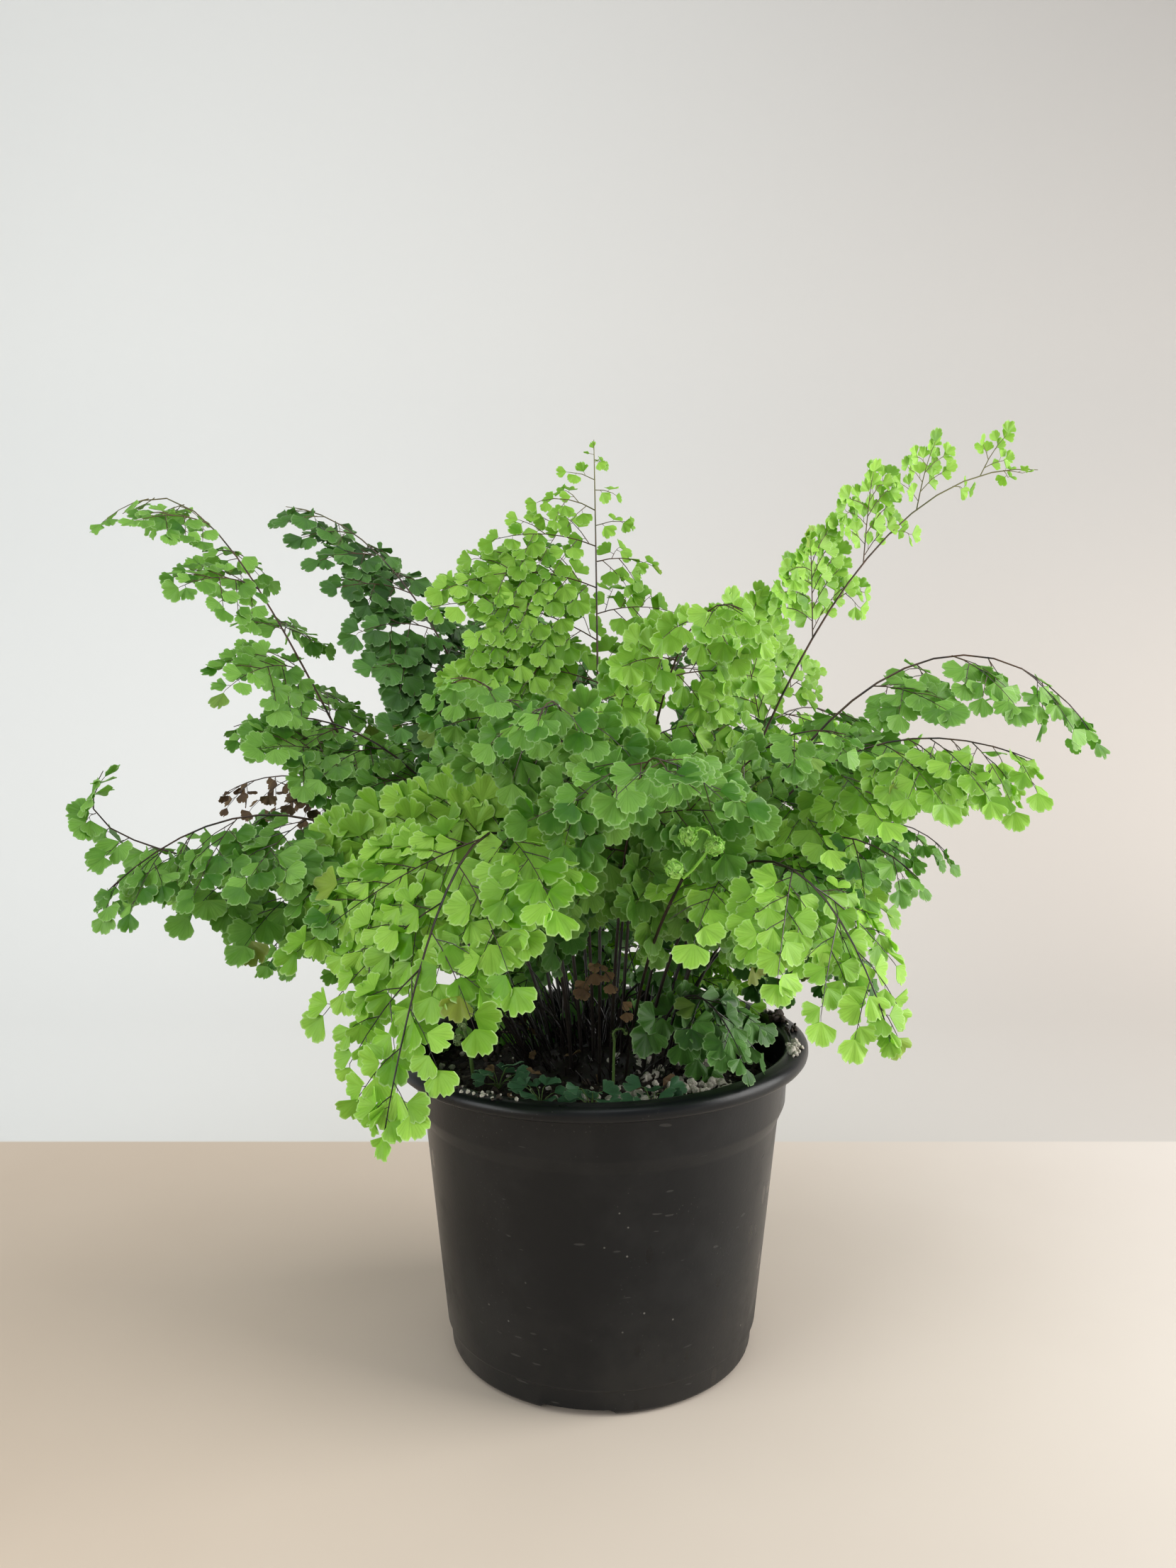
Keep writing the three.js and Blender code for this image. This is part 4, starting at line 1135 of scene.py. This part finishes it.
# %% [markdown]
# ## The crown
# All stalks rise from one rhizome, a knobbly brown-black mound that creeps under the mix. Each
# year's dead stalks break off above it, so it wears a tuft of wiry stubs, with a few dry
# leaflets caught among them. Towards the front the stubs are short, and perlite lies between
# them. The mound is a flattened ball pushed about by noise, and the stubs are tapering stems,
# upright in the middle and leaning outside.


# %% Rhizome
MOUND_FLATNESS = 0.36


def make_crown():
    start_fresh()
    place = (0, 0, (SOIL_TOP + 1) * MM)
    ball = {"segments": 56, "ring_count": 28, "radius": CROWN_RADIUS * MM}
    bpy.ops.mesh.primitive_uv_sphere_add(**ball, location=place)
    crown = bpy.context.object
    crown.name = "crown_mound"
    crown.scale = (1, 1, MOUND_FLATNESS)
    settle(crown)
    for vertex in crown.data.vertices:
        spot = vertex.co / MM
        push = 2.4 * noise.noise(spot / 5.5) + 1.6 * noise.noise(spot / 2.1)
        vertex.co += vertex.normal * push * MM
    dress(crown, stalk_finish, "rhizome", angle=180)
    print("mound faces:", len(crown.data.polygons))


make_crown()

# %% Stubs
STUB_COUNT, STUB_SPREAD, LONG_STUB_EVERY = 520, 32, 11


def make_stubs():
    """What is left of old stalks: short ones, some long thin ones, and very short in front."""
    draws = np.random.RandomState(31)
    stubs = Stems("crown_stubs", 1)
    for i in range(STUB_COUNT):
        azimuth = draws.uniform(0, 360)
        distance = STUB_SPREAD * math.sqrt(draws.uniform(0, 1))
        long_one = i % LONG_STUB_EVERY == 0
        tall = draws.uniform(22, 52) if long_one else draws.uniform(7, 27)
        in_front = -150 < (azimuth + 180) % 360 - 180 < 35 and distance > 12
        tall = tall * 0.3 if in_front else tall
        foot = polar(azimuth, distance, crown_height(distance) - 3)
        slant = tall * (0.15 + 0.55 * distance / CROWN_RADIUS)
        lean = polar(azimuth + draws.uniform(-60, 60), 1, 0) * slant
        side = draws.normal(size=3) * tall * 0.1
        shares = np.linspace(0, 1, 5)
        points = [foot + UP * tall * s + lean * s ** 1.5 + side * math.sin(3.1 * s) for s in shares]
        thick = draws.uniform(0.2, 0.42) if long_one else draws.uniform(0.3, 0.75)
        stubs.add(points, thick, thick * 0.7)
    dress(stubs.finish(), stalk_finish, "rhizome")


make_stubs()
print("stubs:", STUB_COUNT)

# %% Dry leaflets and perlite
LITTER_COUNT, HEAP_COUNT = 26, 130


def make_litter():
    """Dry leaflets fallen on the mix and caught between the stubs."""
    draws = np.random.RandomState(32)
    litter = Gathering()
    for _ in range(LITTER_COUNT):
        x, y, _ = polar(draws.uniform(0, 360), draws.uniform(22, 62), 0)
        lift = draws.uniform(0.8, 2.2) if draws.rand() < 0.6 else draws.uniform(3, 16)
        turn = turned(draws, draws.uniform(0.45, 0.85))
        form = leaflets[draws.randint(len(leaflets))]
        litter.lay(form, turn, (x, y, soil_height(x, y) + lift), (draws.rand(), 0))
    dress(litter.finish("litter"), LEAF_FINISHES["withered"], angle=50)


def make_heap():
    """Perlite that lies among the low stubs, right in front of the tuft."""
    draws = np.random.RandomState(33)
    heap = Gathering()
    for _ in range(HEAP_COUNT):
        distance = draws.uniform(14, 50)
        x, y, _ = polar(draws.triangular(-115, -35, 32), distance, 0)
        size = draws.uniform(1.2, 4.6) / 2
        ground = max(crown_height(distance) if distance < CROWN_RADIUS else 0, soil_height(x, y))
        spot = (x, y, ground + size * 0.5)
        heap.lay(stones[draws.randint(len(stones))], turned(draws, size), spot)
    dress(heap.finish("perlite_heap"), perlite_finish)


make_litter()
make_heap()
print("dry leaflets:", LITTER_COUNT, "grains between the stubs:", HEAP_COUNT)

# %% [markdown]
# ## Croziers
# A new frond comes up with its end rolled into a hook. Its stalk is dark below and turns soft,
# pale green and hairy where it still grows, and its end hangs over in knobs of leaflets that
# have yet to unfold. A knob is a few dozen small leaflets laid face out over a ball. The large
# one stands in front of the leaves, and two small pale ones rise from the mix.

# %% Knobs and hairs
HAIR_COUNT, HAIR_LENGTH = 90, 1.1


def lay_knob(frond, centre, radius, count):
    """A ball of folded leaflets, laid face out like scales."""
    size = radius / 9.5
    for _ in range(count):
        out = unit(frond.draws.normal(size=3))
        along = unit(np.cross(out, frond.draws.normal(size=3)))
        across = np.cross(along, out)
        turn = np.stack([across, along, out], axis=1) * size * frond.draws.uniform(0.8, 1.2)
        place = centre + out * radius * 0.75 - along * radius * 0.6
        form = leaflets[frond.draws.randint(len(leaflets))]
        frond.leaves.lay(form, turn, place, (frond.draws.rand(), 0))


def add_hairs(frond, points, radius):
    """Short hairs that stand off the soft part of a stalk all round."""
    for _ in range(HAIR_COUNT):
        share = frond.draws.uniform(0, len(points) - 1.001)
        spot, part = int(share), share % 1
        place = points[spot] * (1 - part) + points[spot + 1] * part
        along = unit(points[spot + 1] - points[spot])
        out = unit(np.cross(along, frond.draws.normal(size=3)))
        end = place + out * (radius + HAIR_LENGTH * frond.draws.rand())
        frond.thin.add([place + out * radius * 0.8, end], 0.07, 0.03)


# %% A crozier
def make_crozier(number, azimuth, distance, height, out, radius, tip, knobs):
    """tip: the hooked end as points seen from the neck, each sideways, outwards and up.
    knobs: where each knob hangs, in the same way, its radius and how many leaflets it has."""
    frond = Frond(f"crozier_{number}", 700 + number)
    base = crown_height(distance) - 2 if distance < CROWN_RADIUS else SOIL_TOP + 2
    foot = polar(azimuth, distance, base)
    neck = foot + polar(azimuth, out, height)
    side, forward = polar(azimuth + 90, 1, 0), polar(azimuth, 1, 0)
    ends = [neck + side * a + forward * b + UP * c for a, b, c in tip]
    bend = foot + polar(azimuth, out * 0.3, height * 0.55) - UP * 2
    low, _ = even_curve([foot - UP * 6, bend, (bend + ends[0]) / 2, ends[0]], 16)
    high = []
    for here, there in zip(ends, ends[1:]):
        part, _ = even_curve([here, (2 * here + there) / 3, (here + 2 * there) / 3, there], 4)
        high.append(part[:-1])
    high = np.concatenate([*high, ends[-1:]])
    frond.thick.add(low, radius, radius * 0.85)
    young = Stems(f"crozier_{number}_hook", 2)
    young.add(high, radius * 0.85, radius * 0.55)
    frond.thin.add([low[-1], high[1]], radius * 0.5, radius * 0.5)
    add_hairs(frond, high, radius * 0.7)
    for a, b, c, size, count in knobs:
        lay_knob(frond, neck + side * a + forward * b + UP * c, size, count)
    blades = frond.leaves.finish(f"crozier_{number}_knobs")
    soft, firm = (crozier_finish, stalk_finish) if number == 1 else (hook_finish, hook_finish)
    dress(blades, soft, f"crozier_{number}", angle=50)
    hook = join([young.finish(), frond.thin.finish()])
    dress(hook, soft, f"crozier_{number}")
    lower = frond.thick.finish()
    dress(lower, firm, f"crozier_{number}")


# %% The three croziers
crozier_finish = make_leaf_finish("crozier", (0.36, 0.66, 0.10), (0.60, 0.88, 0.26), (0.72, 0.92, 0.44),
                                  (0.46, 0.90, 0.06), 0.3)
hook_finish = make_leaf_finish("crozier_pale", (0.13, 0.22, 0.06), (0.34, 0.46, 0.18), (0.48, 0.58, 0.32),
                               (0.38, 0.55, 0.14), 0.2)
BIG_HOOK = [
    (0.7, 1, -7), (4.4, 1, -4), (7.6, 2, 0), (10.4, 3, 4.5), (8.6, 4, 8.6), (5.8, 4, 9.9), (3.2, 4, 8.6),
]
SMALL_HOOK = [(0, 0, -2), (-0.6, 0, 0.5), (0.4, 0.6, 2.4), (2.6, 1, 2.8), (3.8, 1, 1.6)]
BIG_KNOBS = [(10.6, 4, 4, 3.4, 70), (1.4, 4, 7.4, 3.2, 60), (-3, 3, -3.4, 3.2, 50)]
# Azimuth, distance of the root, height and reach of the neck, radius, hooked end and knobs
CROZIERS = [
    (-73, 27, 96, 58, 0.65, BIG_HOOK, BIG_KNOBS),
    (-84, 37, 26, 5, 0.55, SMALL_HOOK, [(4, 1, 1, 0.9, 10)]),
    (-164, 52, 22, 4, 0.85, SMALL_HOOK, [(4, 1, 1, 2.0, 16), (-1, 2, -6, 2.6, 14)]),
]
for number, row in enumerate(CROZIERS, 1):
    make_crozier(number, *row)
print("croziers:", len(CROZIERS))

# %% [markdown]
# ## Sporelings
# Ferns sow themselves: spores that fell on the damp mix have grown into small bluish plantlets.
# Each is a rosette of a few lobed leaflets on short stalks, held low over the mix.


# %% Sporelings
SPORELING_LEAFLETS = 8
# Azimuth, distance from the pot's axis and height
SPORELINGS = [(-116, 52, 15), (-94, 52, 19), (-70, 53, 16), (-142, 50, 16)]


def make_sporeling(number, azimuth, distance, height):
    plantlet = Frond(f"sporeling_{number}", 800 + number)
    x, y, _ = polar(azimuth, distance, 0)
    foot = np.array((x, y, soil_height(x, y) - 1))
    plantlet.thin.add([foot - UP * 3, foot + UP * 2], 0.5, 0.45)
    for i in range(SPORELING_LEAFLETS):
        heading = azimuth + 360 * i / SPORELING_LEAFLETS + plantlet.vary(18)
        lift = height * (0.15 + 0.45 * plantlet.draws.rand())
        end = foot + polar(heading, plantlet.draws.uniform(2, 6), lift)
        middle = (foot + end) / 2 + UP * 1.2
        plantlet.thin.add([foot, middle, end], 0.24, 0.18)
        size = plantlet.draws.uniform(0.6, 0.95)
        plantlet.leaflet(end, polar(heading, 1, 0.25), UP * 0.9 + TO_LIGHT * 0.5, size)
    blades = plantlet.leaves.finish(f"sporeling_{number}_leaflets")
    dress(blades, sporeling_finish, f"sporeling_{number}", angle=50)
    dress(plantlet.thin.finish(), hook_finish, f"sporeling_{number}")


sporeling_finish = make_leaf_finish("sporeling", (0.03, 0.10, 0.045), (0.10, 0.25, 0.12), (0.26, 0.42, 0.24),
                                    (0.10, 0.32, 0.08), 0.25)
for number, row in enumerate(SPORELINGS, 1):
    make_sporeling(number, *row)
print("sporelings:", len(SPORELINGS))
